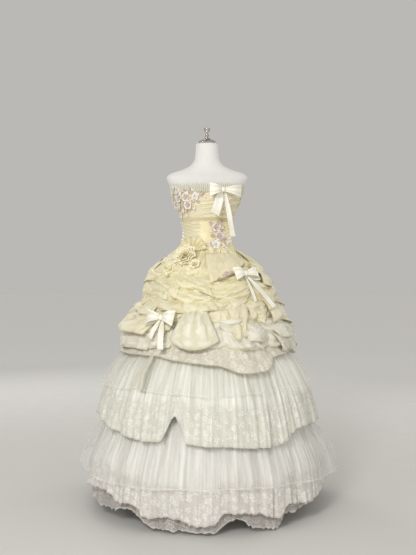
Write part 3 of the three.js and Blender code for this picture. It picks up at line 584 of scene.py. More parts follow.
def tier_finish(name, crest, trough, band, length, lace_from, streaks):
    """Gathered tulle with streaks of light and shade down its gathers, and a lace band above the hem."""
    cloth = Finish(name)
    down = cloth.along(1)
    streak = cloth.cloud(cloth.cut(streaks, 2.4), 4.0, 0.6).step(0.32, 0.68)
    patch = cloth.cloud(cloth.cut(7, 5), 2.0)
    fold = cloth.fold()
    light = (streak * 0.5 + fold * 0.45 + patch * 0.6 - 0.28).step(0.1, 0.85)
    thread = flower_lace(cloth, 27, 27)
    edge = cloth.cloud(cloth.cut(9, 0), 2.0) * 0.05 + lace_from
    in_band = (down - edge).step(0.0, 0.012)
    seam = abs(down - edge).step(0.001, 0.004, 1.0, 0.0)
    hem = (down - (length - 0.009)).step(0.0, 0.003)
    ground = cloth.mix(light, tint(trough), tint(crest))
    lace = cloth.mix(thread, cloth.mix(0.45, tint(band), ground), cloth.mix(0.5, tint(crest), ground))
    colour = cloth.mix(in_band, ground, lace)
    colour = cloth.mix(hem * 0.7 + seam * 0.25, colour, tint(band))
    relief = thread * in_band * 0.8 + streak * 0.5 + hem * 0.5 + cloth.weave(420) * 0.08
    return cloth.surface(
        Base_Color=colour,
        Roughness=0.46,
        Sheen_Weight=0.3,
        Sheen_Roughness=0.35,
        Normal=cloth.bump(relief, 0.0022, 0.8),
    )


lower_finish = tier_finish("white_tulle_low", "#fdfcf6", "#d8d4cd", "#cfc4ba", 0.40, 0.235, 62)
lower_tier = made(
    "lower_tier_gathered",
    drawn_out(420, 36, (3.9, 0.40), gathered_place(LOWER_TIER, 1.25, 3.0), closed=True),
    lower_finish,
)
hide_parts("lower_tier")

# The sheer tulle over the lower tier: one loose layer of soft tulle with a narrow hem, gathered on to the
# foundation just above the tier. It stands off at the sides.
LOWER_TULLE = {
    "top": 456, "gathers": 14, "depth": (0.3, 8), "flare": (25, 31),
    "lift": smooth_line([
        (150, 52), (200, 48), (250, 43), (300, 27), (340, 21), (400, 22), (440, 7), (456, 2.9),
    ]),
    "hem": smooth_line([
        (-180, 190), (-135, 172), (-90, 200), (-40, 170), (0, 182), (45, 172), (90, 158), (135, 186),
        (180, 190),
    ]),
}


def sheer_finish(name, light, dark, cover, length):
    """Soft see-through tulle: a little denser in its folds, with painted shade in their troughs and painted light on
    their crests, and a narrow hem.
    """
    cloth = Finish(name)
    down = cloth.along(1)
    fold = cloth.fold()
    streak = cloth.cloud(cloth.cut(26, 1.5), 3.0).step(0.35, 0.75)
    hem = (down - (length - 0.006)).step(0.0, 0.002)
    hole = cloth.weave(380)
    # Painted shade in the troughs and painted light on the crests.
    cloud = cloth.mix(fold, tint(dark), tint(light))
    return cloth.surface(
        Base_Color=cloud,
        Roughness=0.8,
        Sheen_Weight=0.4,
        Alpha=(streak * 0.16 + fold * 0.1 + hem * 0.22 + hole * 0.05 + cover).step(0.0, 1.0),
        Normal=cloth.bump(hole, 0.0004, 0.5),
    )


sheer_low = sheer_finish("sheer_tulle_low", "#faf9f4", "#e4e0da", 0.2, 0.30)
lower_tulle = made(
    "lower_tulle_gathered",
    drawn_out(252, 24, (3.7, 0.30), gathered_place(LOWER_TULLE, 1.0, 4.0), closed=True),
    sheer_low,
)
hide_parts("lower_tulle")

# The upper tier: the same tulle over satin, gathered on to the foundation. Its lower half is a wide floral lace
# band whose hem dips and rises, with a sharp rise left of the centre where it is caught up.
UPPER_TIER = {
    "top": 700, "gathers": 26, "depth": (0.4, 8),
    "lift": smooth_line([(310, 40), (400, 47), (500, 52), (600, 38), (660, 13), (700, 2.2)]),
    "hem": smooth_line([
        (-180, 350), (-140, 372), (-110, 348), (-77, 400), (-53, 374), (-31, 346), (-22, 350), (-15, 448),
        (-9.5, 348), (8, 335), (33, 322), (52, 380), (80, 366), (120, 340), (150, 372), (180, 350),
    ]),
}
upper_finish = tier_finish("white_tulle_high", "#fbfbf0", "#d8d6c9", "#dad4c4", 0.375, 0.19, 58)
upper_tier = made(
    "upper_tier_gathered",
    drawn_out(420, 36, (3.5, 0.375), gathered_place(UPPER_TIER, 1.2, 2.0), closed=True),
    upper_finish,
)
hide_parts("upper_tier")

# The sheer tulle over the upper tier: one short loose layer of soft tulle, gathered on to the foundation just
# above the tier. It stands out at the sides.
UPPER_TULLE = {
    "top": 712, "gathers": 14, "depth": (0.3, 7),
    "lift": smooth_line([
        (500, 74), (560, 67), (600, 56), (630, 42), (660, 25), (680, 15), (700, 6), (712, 2.7),
    ]),
    "hem": smooth_line([
        (-180, 530), (-130, 512), (-85, 522), (-40, 540), (0, 526), (45, 538), (90, 545), (135, 520),
        (180, 530),
    ]),
}
sheer_high = sheer_finish("sheer_tulle_high", "#faf9f0", "#e2e0d4", 0.14, 0.215)
upper_tulle = made(
    "upper_tulle_gathered",
    drawn_out(252, 20, (3.4, 0.215), gathered_place(UPPER_TULLE, 1.0, 3.0), closed=True),
    sheer_high,
)
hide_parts("upper_tulle")

# The lace flounce at the foot of the overskirt: a gathered band of floral lace, sewn in under the lowest row of
# puffs. Its hem is bound in a narrow beige edge.
FLOUNCE = {
    "top": 760, "gathers": 18, "depth": (0.4, 6),
    "lift": smooth_line([
        (600, 76), (610, 73), (640, 57), (660, 42), (680, 32), (700, 24), (730, 13), (760, 2.4),
    ]),
    "hem": smooth_line([
        (-180, 640), (-150, 668), (-115, 640), (-75, 664), (-35, 668), (-14, 650), (6, 638), (20, 608),
        (32, 610), (48, 662), (75, 672), (115, 634), (150, 666), (180, 640),
    ]),
}


def lace_finish(name, ground_code, thread_code, edge_code, length, cover):
    """Open floral lace: thick threads on a fine net, painted shade in the colour of the edge in the troughs of its
    gathers, and a bound edge.
    """
    cloth = Finish(name)
    down = cloth.along(1)
    fold = cloth.fold()
    thread = flower_lace(cloth, 26, 26)
    hem = (down - (length - 0.0045)).step(0.0, 0.0015)
    colour = cloth.mix(thread, tint(ground_code), tint(thread_code))
    # Painted shade: the troughs of the gathers are darkened towards the edge colour.
    colour = cloth.mix(fold.step(0.2, 0.8, 0.22, 0.0), colour, tint(edge_code))
    return cloth.surface(
        Base_Color=cloth.mix(hem * 0.8, colour, tint(edge_code)),
        Roughness=0.8,
        Sheen_Weight=0.25,
        Alpha=(thread * 0.35 + hem * 0.5 + cover).step(0.0, 1.0),
        Normal=cloth.bump(thread + hem + cloth.weave(420) * 0.2, 0.0016, 0.8),
    )


flounce_finish = lace_finish("flounce_lace", "#e9e4d2", "#f7f2e2", "#c2b99f", 0.155, 0.8)
flounce = made(
    "lace_flounce_gathered",
    drawn_out(288, 18, (2.6, 0.155), gathered_place(FLOUNCE, 0.8, 3.0), closed=True),
    flounce_finish,
)
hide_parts("lace_flounce")

# The overskirt: pale yellow organza in four rows, caught up here and there by a tack so that it blows out in soft
# puffs. Folds run from tack to tack, and the free corners of the cloth stand out over the rows at the sides.
PUFF_ROWS = {
    "puffs_waist": {
        "top": 1138, "hem": 1000,
        "lift": smooth_line([(960, 37), (1000, 34), (1050, 29), (1100, 9), (1138, 2.5)]),
        "puffs": [
            # turn, reach, drop
            (-180, 14, 22), (-142, 20, 12), (-108, 12, 24), (-74, 14, 20), (-42, 10, 8), (-6, 3, 20),
            (30, 8, 4), (66, 14, 16), (106, 20, 22), (142, 15, 12),
        ],
    },
    "puffs_high_hip": {
        "top": 1030, "hem": 885,
        "lift": smooth_line([(860, 34), (885, 33), (940, 32), (985, 27), (1010, 16), (1030, 2.7)]),
        "puffs": [
            (-180, 20, 18), (-146, 14, 8), (-112, 12, 20), (-80, 10, 12), (-46, 12, 16), (-18, 3, 8),
            (12, 12, 18), (44, 18, 10), (74, 26, 14), (108, 18, 20), (144, 22, 10),
        ],
    },
    "puffs_low_hip": {
        "top": 920, "hem": 795,
        "lift": smooth_line([(770, 42), (795, 41), (850, 36), (885, 28), (905, 14), (920, 3.2)]),
        "puffs": [
            (-180, 18, 12), (-150, 22, 20), (-118, 12, 8), (-98, 22, 10), (-64, 10, 18), (-34, 3, 4),
            (10, 14, 10), (38, 18, 20), (68, 10, 8), (100, 20, 18), (140, 16, 14),
        ],
    },
    "puffs_thigh": {
        "top": 830, "hem": 702,
        "lift": smooth_line([(670, 40), (702, 38), (770, 37), (800, 30), (818, 14), (830, 3.5)]),
        "puffs": [
            (-180, 20, 8), (-148, 16, 18), (-116, 22, 10), (-82, 16, 16), (-52, 12, 6), (-26, 3, 2),
            (14, 16, 16), (44, 22, 8), (70, 30, 14), (106, 20, 18), (144, 14, 10),
        ],
    },
}
TUCK_FROM = 0.74
TUCK_DEPTH = 24
UNEVEN = 14
CLOSE_HIP = {"turn": -92, "wide": 34, "height": 880, "tall": 42, "share": 0.75}


def ridge(away, width):
    return math.exp(-((away / width) ** 2))


def stand_off(row, turn, z, t, reach, swell):
    """How far a row stands off the skirt: less at the left hip, where the cloth lies close."""
    hip = CLOSE_HIP
    loose = 1 - hip["share"] * ridge(half_turn(turn) - hip["turn"], hip["wide"]) * ridge(z - hip["height"], hip["tall"])
    return row["lift"](z) * loose + loose * reach * swell * t ** 1.3 * (1 - 0.4 * max(0.0, t - 0.7) / 0.3)


def puff_ends(row, turn):
    """Which puff a turn falls in, and the share of the way across it."""
    puffs = row["puffs"]
    turn = half_turn(turn)
    part = bisect_right([puff[0] for puff in puffs], turn) - 1
    start = puffs[part][0]
    end = puffs[part + 1][0] if part + 1 < len(puffs) else puffs[0][0] + 360
    return part, (turn - start) / (end - start), end - start


def crease(place, sharp=0.35):
    """A run of round folds with narrow valleys between them, from -1 to 1 and one fold to each whole number."""
    return 1 - 2 * abs(math.cos(math.pi * place)) ** (1 / sharp)


def rolled_under(t):
    """How far the foot of a row is rolled under, from 0 to 1."""
    return max(0.0, (t - TUCK_FROM) / (1 - TUCK_FROM))


def puff_radius(row, turn, t):
    """Height and radius of a row of puffs, with its swags and gathers."""
    part, within, wide = puff_ends(row, turn)
    _, reach, drop = row["puffs"][part]
    swell = math.sin(math.pi * within) ** 0.7
    z = row["top"] + (row["hem"] - drop * swell - row["top"]) * t
    out = stand_off(row, turn, z, t, reach, swell)
    belly = 4 * within * (1 - within)
    hang = t - 0.34 * belly * t * (1.2 - t)
    swags = 4.2 * crease(3.1 * hang + 0.3 * math.sin(5 * part + 7 * within)) * belly ** 0.6 * min(1, 4 * t)
    side = min(within, 1 - within)
    fan = math.atan2(t + 0.04, side * wide / 26 + 0.02)
    gathers = 4.5 * math.cos(9 * fan + part) * ridge(math.hypot(side * wide / 26, t - 0.1), 0.75) * min(1, 4 * t)
    rough = 9 * noise.noise(Vector((turn / 12, z / 30, part))) * min(1, 3 * t) * swell
    roll = rolled_under(t)
    relief = swags + gathers + rough
    radius = line_radius(half_turn(turn), z) + out + relief * (1 - 0.5 * roll) - TUCK_DEPTH * roll ** 2.5
    return z, radius, limited(0.55 + relief / 20)


def over_rows(turn, z):
    """Radius of the outermost row at one place."""
    radius = line_radius(half_turn(turn), z)
    for row in PUFF_ROWS.values():
        part, within, _ = puff_ends(row, turn)
        _, reach, drop = row["puffs"][part]
        swell = math.sin(math.pi * within) ** 0.7
        bottom = row["hem"] - drop * swell
        if bottom <= z <= row["top"]:
            t = (row["top"] - z) / (row["top"] - bottom)
            out = stand_off(row, turn, z, t, reach, swell)
            radius = max(radius, line_radius(half_turn(turn), z) + out - TUCK_DEPTH * rolled_under(t) ** 2.5)
    return radius


def caught_puff(left, right, depth, bulge, folds, seed):
    """Organza between two tacks: it blows out, its folds run from one tack to the other, and its top and
    bottom edges are tucked in behind."""
    (turn_a, height_a), (turn_b, height_b) = left, right
    height_a += UNEVEN * math.sin(2.3 * seed)
    height_b += UNEVEN * math.sin(3.1 * seed + 1)
    folds *= 0.75
    around_middle = [over_rows((turn_a + turn_b) / 2, (height_a + height_b) / 2 + step) for step in (15, 0, -35)]
    ground = max(around_middle)

    def place(u, v):
        hang = 4 * u * (1 - u)
        wander = 0.05 * math.sin(3.1 * seed + 5 * u)
        turn = turn_a + (turn_b - turn_a) * u + 1.2 * math.sin(4 * v + seed) * hang
        z = height_a + (height_b - height_a) * u - depth * (v + wander * hang) * (0.12 + 0.88 * hang ** 0.75)
        z += 0.1 * depth * hang
        rest = 0.6 * over_rows(turn, z) + 0.4 * min(ground, over_rows(turn, z) + 12)
        round_out = math.sin(math.pi * v) ** 0.6 * hang ** 0.5
        place_down = folds * (v ** 0.9 + 0.05 * math.sin(7 * u + seed)) + 0.13 * seed
        fold = crease(place_down) * hang ** 0.4 * math.sin(math.pi * v) ** 0.4
        soft = noise.noise(Vector((2.6 * u, 2 * v, 1.7 * seed))) * 9 * hang * math.sin(math.pi * v)
        radius = rest - 5 + (bulge + 5) * round_out + 3.6 * fold + soft
        return around(turn, radius, z), limited(0.55 + 0.32 * fold + soft / 26)

    return place


def free_cloth(corners, bulge, free, across, down, seed):
    """A fold of organza over the rows, from its four corners: the top edge is caught, the foot stands free."""
    (turn_a, height_a), (turn_b, height_b), (turn_c, height_c), (turn_d, height_d) = corners
    tall = (height_a + height_b - height_c - height_d) / 2

    def place(u, v):
        hang = 4 * u * (1 - u)
        turn = (1 - v) * (turn_a + (turn_b - turn_a) * u) + v * (turn_d + (turn_c - turn_d) * u)
        z = (1 - v) * (height_a + (height_b - height_a) * u) + v * (height_d + (height_c - height_d) * u)
        turn += 1.4 * math.sin(3 * v + seed) * hang * v
        z -= 0.13 * tall * hang * v * math.cos(seed + 2 * u)
        rest = max(over_rows(turn, z + step) for step in (-18, 0, 18)) - 3
        out = bulge * (math.sin(math.pi * min(1.0, v * 0.92)) * hang) ** 0.5 + free * v ** 1.4
        lying = crease(across * (v ** 0.9 + 0.06 * math.sin(6 * u + seed)) + 0.13 * seed)
        standing = crease(down * (u + 0.07 * math.sin(4 * v + seed)) + 0.21 * seed)
        fold = (0.9 * lying * (hang * math.sin(math.pi * v)) ** 0.4 if across else 0) + (
            standing * v ** 0.6 if down else 0)
        soft = noise.noise(Vector((2.2 * u, 1.8 * v, 1.7 * seed))) * 10 * v ** 0.5
        curl = 6 * max(0.0, v - 0.82) / 0.18 * math.sin(6 * u + seed)
        radius = rest - 6 * (1 - v) ** 6 + out + 3.8 * fold + soft + curl
        return around(turn, radius, z), limited(0.55 + 0.28 * fold + soft / 26)

    return place


CAUGHT = {
    "puffs_waist": [
        # left tack, right tack, depth, bulge, folds, seed: each tack is a turn and a height
        ((-62, 1072), (-26, 1040), 92, 16, 3.2, 1), ((-34, 1024), (2, 958), 84, 18, 3.4, 2),
        ((-88, 1060), (-50, 1030), 88, 14, 3, 3), ((56, 1070), (88, 1060), 80, 14, 3, 4),
        ((84, 1076), (122, 1064), 92, 16, 3.2, 5), ((118, 1062), (160, 1072), 96, 17, 3.4, 6),
        ((156, 1074), (198, 1060), 92, 16, 3.2, 7), ((-164, 1060), (-124, 1074), 96, 17, 3.4, 8),
        ((-128, 1074), (-86, 1062), 90, 15, 3, 9), ((20, 1000), (54, 1024), 62, 12, 2.6, 10),
    ],
    "puffs_high_hip": [
        ((-84, 985), (-50, 972), 84, 14, 2.8, 11), ((-54, 990), (-24, 950), 76, 18, 3.4, 12),
        ((-30, 962), (5, 916), 78, 18, 3.2, 13), ((3, 922), (42, 962), 64, 18, 3, 14),
        ((44, 975), (72, 960), 84, 15, 3, 15), ((68, 985), (100, 970), 88, 16, 3, 16),
        ((96, 972), (132, 985), 92, 16, 3.2, 17), ((130, 985), (166, 968), 90, 16, 3.4, 18),
        ((162, 970), (200, 984), 92, 16, 3.2, 19), ((-162, 984), (-126, 970), 90, 16, 3, 20),
        ((-128, 972), (-90, 986), 88, 15, 3, 21), ((-16, 905), (8, 925), 46, 12, 2.6, 22),
        ((-8, 985), (24, 962), 54, 9, 2.4, 23),
    ],
    "puffs_low_hip": [
        ((-78, 902), (-50, 880), 76, 13, 2.8, 24), ((-56, 905), (-26, 885), 58, 15, 2.8, 25),
        ((-34, 880), (-14, 850), 62, 13, 2.8, 26), ((6, 912), (24, 890), 66, 13, 2.6, 27),
        ((14, 886), (34, 906), 78, 15, 3, 28), ((30, 895), (54, 892), 86, 18, 3, 29),
        ((50, 905), (80, 880), 88, 16, 3, 30), ((78, 892), (106, 902), 82, 15, 3, 31),
        ((104, 902), (138, 886), 88, 16, 3.2, 32), ((136, 888), (170, 902), 88, 16, 3, 33),
        ((168, 902), (204, 886), 88, 16, 3.2, 34), ((-158, 888), (-124, 902), 86, 16, 3, 35),
        ((-126, 902), (-80, 888), 82, 14, 3, 36),
    ],
    "puffs_thigh": [
        ((-80, 812), (-52, 800), 72, 13, 2.8, 37), ((-54, 812), (-28, 806), 80, 12, 2.6, 38),
        ((8, 800), (26, 812), 66, 12, 2.4, 39), ((22, 812), (44, 796), 76, 14, 2.8, 40),
        ((40, 806), (66, 802), 84, 15, 3, 41), ((62, 812), (90, 796), 80, 14, 3, 42),
        ((88, 800), (120, 812), 82, 15, 3, 43), ((118, 812), (152, 798), 80, 15, 3, 44),
        ((150, 800), (186, 812), 82, 15, 3, 45), ((-176, 812), (-142, 798), 82, 15, 3, 46),
        ((-144, 800), (-110, 812), 80, 15, 3, 47), ((-112, 810), (-78, 800), 80, 14, 3, 48),
    ],
}
FREE = {
    "puffs_waist": [
        # the corners from the top left round to the foot left, bulge, stand-off, folds across, folds down, seed
        ((78, 1060), (112, 1072), (106, 985), (84, 972), 9, 8, 1.5, 0.9, 31),
        ((-67, 1058), (-33, 1030), (-47, 962), (-78, 985), 4, 9, 0, 1.4, 1),
        ((-31, 1022), (1, 975), (6, 906), (-18, 946), 9, 7, 1.7, 0, 2),
        ((-55, 992), (-23, 1000), (-24, 901), (-37, 929), 7, 9, 1.2, 1.2, 3),
        ((-87, 1132), (-38, 1105), (-31, 1022), (-72, 1058), 3, 3, 1.4, 2.2, 4),
        ((66, 1117), (92, 1108), (86, 1015), (50, 1022), 2, 4, 0.8, 2.6, 5),
        ((76, 1070), (102, 1040), (96, 955), (57, 962), 7, 12, 1.2, 1.6, 6),
        ((5, 975), (40, 996), (40, 946), (7, 902), 9, 5, 1.6, 0, 7),
        ((-104, 1080), (-74, 1060), (-78, 985), (-100, 996), 5, 4, 0, 1.6, 8),
    ],
    "puffs_high_hip": [
        ((80, 962), (116, 950), (112, 862), (88, 874), 9, 9, 1.4, 1.2, 32),
        ((-66, 966), (-34, 958), (-32, 896), (-76, 922), 8, 6, 1.5, 0, 9),
        ((-55, 911), (-22, 934), (-12, 845), (-36, 851), 9, 8, 1.4, 1.1, 10),
        ((-62, 918), (-38, 904), (-43, 833), (-80, 866), 4, 8, 0, 1.5, 11),
        ((-23, 934), (5, 906), (-1, 829), (-15, 849), 8, 6, 1.3, 1, 12),
        ((-10, 905), (9, 900), (12, 852), (-8, 856), 6, 4, 0, 2.6, 13),
        ((7, 906), (41, 954), (33, 892), (11, 869), 9, 6, 1.6, 0, 14),
        ((72, 1006), (100, 950), (90, 862), (60, 885), 8, 14, 1.2, 1.4, 15),
        ((52, 954), (86, 916), (84, 831), (49, 853), 9, 10, 1.3, 1.2, 16),
        ((-98, 960), (-78, 950), (-74, 872), (-100, 884), 4, 3, 0, 1.5, 17),
    ],
    "puffs_low_hip": [
        ((76, 872), (108, 884), (104, 786), (80, 772), 9, 9, 1.2, 1.4, 33),
        ((-60, 856), (-32, 851), (-42, 755), (-91, 800), 5, 36, 0, 3.1, 18),
        ((15, 889), (33, 896), (26, 747), (17, 749), 7, 8, 0, 1.6, 19),
        ((32, 900), (51, 890), (42, 796), (32, 819), 5, 10, 0, 1.3, 20),
        ((55, 928), (92, 898), (88, 785), (49, 803), 9, 14, 1.1, 1.5, 21),
        ((-39, 846), (-21, 846), (-25, 776), (-37, 764), 7, 7, 1.1, 1, 22),
        ((-100, 862), (-72, 852), (-78, 772), (-104, 780), 7, 16, 0, 1.5, 23),
    ],
    "puffs_thigh": [
        ((82, 792), (114, 782), (110, 694), (84, 700), 8, 9, 1.1, 1.6, 34),
        ((42, 821), (88, 818), (88, 752), (54, 739), 8, 12, 1.1, 1.4, 24),
        ((48, 762), (88, 750), (90, 668), (56, 682), 7, 16, 0, 3.4, 25),
        ((14, 761), (33, 754), (39, 696), (20, 706), 6, 8, 0, 2.4, 26),
        ((-84, 766), (-40, 768), (-40, 690), (-88, 672), 7, 13, 0, 3.6, 27),
        ((-42, 767), (-24, 756), (-24, 704), (-40, 690), 7, 7, 1, 2.2, 28),
        ((27, 807), (46, 812), (44, 730), (26, 727), 8, 7, 1.2, 1, 29),
        ((-102, 780), (-76, 774), (-74, 690), (-104, 684), 7, 16, 0, 1.6, 30),
    ],
}
FREE_WIDTH = 0.22
SIDE_HEM = 0.004
PUFF_CUT = 0.0055
ROUND_TO_BACK = 187


def behind(corners):
    """Corners like those of the front, moved round to the back and a little up or down."""
    return [(turn + ROUND_TO_BACK, height + 9 * math.sin(turn / 14)) for turn, height in corners]


def organza_finish(name, light, dark, edge_code, hem_from, cover=1.0):
    """Crisp organza: fine crinkles, a soft sheen, painted light on the crests, painted shade in the troughs and the
    crumpled creases, and a narrow darker hem.
    """
    cloth = Finish(name)
    down = cloth.along(1)
    fold = cloth.fold()
    crinkle = cloth.cloud(cloth.cut(22, 22), 5.0, 0.62)
    crumple = abs(cloth.cloud(cloth.cut(13, 13), 2.5, 0.55) - 0.5).step(0.0, 0.13)
    hem = (down - hem_from).step(0.0, 0.0012)
    if cover < 1:
        side_hem = (abs(cloth.along(0) - FREE_WIDTH / 2) - (FREE_WIDTH / 2 - SIDE_HEM)).step(0.0, 0.0012)
        hem = (hem + side_hem).step(0.0, 1.0)
    # Painted light and shade: lighter on the crests, darker in the troughs and the crumpled creases.
    light_share = (fold * 0.85 + crinkle * 0.35 + crumple * 0.28 - 0.24).step(0.1, 0.85)
    colour = cloth.mix(light_share, tint(dark), tint(light))
    return cloth.surface(
        Base_Color=cloth.mix(hem * 0.8, colour, tint(edge_code)),
        Roughness=0.5,
        Sheen_Weight=0.3,
        Sheen_Roughness=0.3,
        Alpha=(crinkle * 0.12 + hem * 0.3 + cover).step(0.0, 1.0) if cover < 1 else 1.0,
        Normal=cloth.bump(crinkle * 0.6 + crumple * 0.9 + cloth.weave(450) * 0.04 + hem * 0.4, 0.0032, 0.8),
    )


organza_tones = {
    "puffs_waist": ("#f6eec9", "#e4d9a9"),
    "puffs_high_hip": ("#f5edcc", "#e1d7ab"),
    "puffs_low_hip": ("#f4ecce", "#dfd5b0"),
    "puffs_thigh": ("#f3efde", "#dcd6c1"),
}
for name, row in PUFF_ROWS.items():
    long = (row["top"] - row["hem"]) * 1.25 / 1000

    def row_place(u, v, row=row):
        turn = (u - 0.5) * 360
        z, radius, crest = puff_radius(row, turn, v)
        return around(turn, radius, z), crest

    joined = bmesh.new()
    sew_to(joined, drawn_out(400, 26, (3.2, long), row_place, closed=True))
    for left, right, depth, bulge, folds, seed in CAUGHT[name]:
        wide = PUFF_CUT * (right[0] - left[0])
        sew_to(joined, drawn_out(36, 26, (wide, long), caught_puff(left, right, depth, bulge, folds, seed)))
    for *corners, bulge, free, across, down, seed in FREE[name]:
        sew_to(joined, drawn_out(28, 22, (FREE_WIDTH, long), free_cloth(corners, bulge, free, across, down, seed)), 1)
        back = free_cloth(behind(corners), bulge, free, across, down, seed + 0.6)
        sew_to(joined, drawn_out(28, 22, (FREE_WIDTH, long), back), 1)
    light, dark = organza_tones[name]
    puffs = made(
        name + "_swagged", joined,
        organza_finish(name, light, dark, "#d0c6a0", long - 0.006),
        organza_finish(name + "_fold", light, dark, "#d6cda9", long - 0.007, 0.84),
    )
    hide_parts(name)
    long * 1.25

# The large smooth puff at the front: organza caught small at its top in close crinkles, then blown out round and
# smooth to a crisp rolled edge.
FRONT_PUFF_TURN = -8
FRONT_PUFF = [
    # height, half width in degrees, edge radius, crown radius
    (886, 6.5, 286, 288), (868, 7.5, 300, 305), (840, 9, 334, 352), (800, 11.5, 362, 386),
    (750, 14.5, 370, 402), (718, 15.5, 376, 404), (694, 15, 380, 396),
]
front_lines = [
    smooth_line([(row[0], row[column]) for row in reversed(FRONT_PUFF)]) for column in (1, 2, 3)
]


def front_puff_place(u, v):
    height = FRONT_PUFF[0][0] + (FRONT_PUFF[-1][0] - FRONT_PUFF[0][0]) * v
    half, edge, crown = (line(height) for line in front_lines)
    swell = math.sin(math.pi * u) ** 0.6
    turn = FRONT_PUFF_TURN + (2 * u - 1) * half
    z = height + 38 * v ** 4 * (2 * u - 1) ** 2
    pinch = ridge(v, 0.34)
    crinkle = pinch * 5 * math.cos(2 * math.pi * 4.5 * u + 2 * v) * swell
    long_fold = 2.2 * math.cos(2 * math.pi * 3.2 * (u - 0.1 * v)) * math.sin(math.pi * min(1, v * 1.1)) ** 0.5
    roll = max(0.0, (v - 0.93) / 0.07)
    radius = edge + (crown - edge) * swell + crinkle + long_fold - 9 * roll * roll
    return around(turn, radius + 1, z), limited(0.6 + (crinkle + long_fold) / 12)


front_puff = made(
    "front_puff_smooth",
    drawn_out(64, 56, (0.24, 0.21), front_puff_place),
    organza_finish("front_puff", "#f2eed8", "#d9d3b6", "#b0a47c", 0.203),
    wall=0.8,
)
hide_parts("front_puff")

# The pointed overlay: one smooth layer of organza over the right of the waist, cut to a point at the centre. Its
# top is caught in over the waist row and its foot hangs free.
OVERLAY = {"left": -2, "right": 50, "top": 1094, "point": 966, "side": 1058}
OVERLAY_LIFT = 8
OVERLAY_GAP = 9


def overlay_radius(turn, z, down):
    """Radius of the overlay at one place, a share of the way down it."""
    lift = PUFF_ROWS["puffs_waist"]["lift"](z)
    return line_radius(turn, z) + lift + OVERLAY_LIFT * down ** 1.2 + OVERLAY_GAP


def overlay_place(u, v):
    left = OVERLAY["left"] + 5 * v
    turn = left + (OVERLAY["right"] - left) * u
    hem = OVERLAY["point"] + (OVERLAY["side"] - OVERLAY["point"]) * u
    z = OVERLAY["top"] + (hem - OVERLAY["top"]) * v
    soft_fold = 1.6 * math.cos(2 * math.pi * (1.6 * u + 0.3 * v)) * v
    return around(turn, overlay_radius(turn, z, v) + soft_fold, z), 0.55 + soft_fold / 5


overlay = made(
    "peplum_pointed",
    drawn_out(48, 32, (0.25, 0.13), overlay_place),
    organza_finish("overlay", "#f6eccb", "#eadfb9", "#c4b88e", 0.126),
    wall=0.8,
)
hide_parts("peplum")

# The sheer strip: a narrow length of soft tulle caught to the flounce at the left front. It hangs loose over the
# tiers below.
STRIP = {"turn": -34.5, "half": 1.7, "top": 674, "hem": 546}


def strip_place(u, v):
    turn = STRIP["turn"] + (2 * u - 1) * STRIP["half"] * (0.8 + 0.35 * v)
    z = STRIP["top"] + (STRIP["hem"] - STRIP["top"]) * v
    lift = max(FLOUNCE["lift"](z), UPPER_TULLE["lift"](max(z, 500)))
    # The fold value bands the strip with painted light and painted shade across it.
    return around(turn, line_radius(turn, z) + lift + 13 + 2 * math.sin(5 * v), z), 0.5 + 0.3 * math.cos(9 * u)


strip = made(
    "sheer_strip_hung",
    drawn_out(8, 24, (0.028, 0.145), strip_place),
    sheer_finish("sheer_strip", "#e2dfce", "#c6c2ae", 0.7, 0.145),
)
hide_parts("sheer_strip")

# The bodice: boned and close, its front and back covered with yellow chiffon in soft slanting folds. The waist is
# yellow satin, with a sheer drape over it at the left, seamed to the chiffon above.
NECKLINE = 1388
DRAPE_EDGE = 1236
WAIST_SEAM = 1139
JOIN_GAP = 0.3
DEEP_FOLD_SHADE_AT = 0.141
SHEER_DRAPE_TO = 0.146
FOLD_WIDTH = 7
DRAPE_FOLDS = [
    # height at the centre, rise to the right in mm per degree, height of the ridge
    (1376, 0.1, 1.6), (1354, 0.3, 2.4), (1334, 0.45, 2.8), (1312, 0.5, 3), (1292, 0.4, 2.6),
    (1272, 0.25, 3), (1252, 0.1, 3.4),
]


def drape_relief(turn, z):
    edge = math.sqrt(max(math.cos(math.radians(turn)), 0.0))
    wander = 3 * math.sin(turn / 17 + z / 30)
    main = sum(deep * ridge(z + wander - at - rise * turn, FOLD_WIDTH) for at, rise, deep in DRAPE_FOLDS)
    slant = (z - 0.34 * turn + wander) / 8.5
    fine = 0.9 * math.cos(2 * math.pi * slant + 1.5 * noise.noise(Vector((turn / 22, z / 60, 1))))
    finer = 0.45 * math.cos(2 * math.pi * slant * 2.3 + turn / 14)
    return main * edge + fine + finer


def chiffon_finish(name, light, dark):
    cloth = Finish(name)
    fold = cloth.fold()
    cloud = cloth.cloud(cloth.cut(30, 90), 4.0)
    # Painted light on the crests of the drape and painted shade in its troughs.
    colour = cloth.mix((fold + cloud * 0.4 - 0.2).step(0.1, 0.9), tint(dark), tint(light))
    down = cloth.along(1)
    # A band of painted shade, darker in patches, in the deep fold under the bust. The back panels get it at the same
    # height.
    deep_fold_shade = abs(down - DEEP_FOLD_SHADE_AT).step(0.002, 0.012, 0.5, 0.0) * cloud.step(0.2, 0.5)
    colour = cloth.mix(deep_fold_shade, colour, tint("#bfae78"))
    return cloth.surface(
        Base_Color=colour,
        Roughness=0.6,
        Sheen_Weight=0.4,
        Sheen_Roughness=0.35,
        Normal=cloth.bump(cloth.weave(520) * 0.15 + cloud, 0.0009, 0.7),
    )


def panel_place(turns, top, foot, relief, inset=0.08):
    def place(u, v):
        turn = turns[0] + inset + (turns[1] - turns[0] - 2 * inset) * u
        z = top + (foot - top) * v
        raised = relief(turn, z)
        radius = bodice_radius(turn, z) + raised
        return around(turn, radius, z), limited(0.35 + raised / 6)

    return place


chiffon = chiffon_finish("draped_chiffon", "#f2ead0", "#ddd1a4")
bodice_front = made(
    "bodice_front_draped",
    drawn_out(120, 120, (0.42, 0.152), panel_place((-90, 90), NECKLINE, DRAPE_EDGE, drape_relief)),
    chiffon,
    wall=1.6,
)
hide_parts("bodice_front")


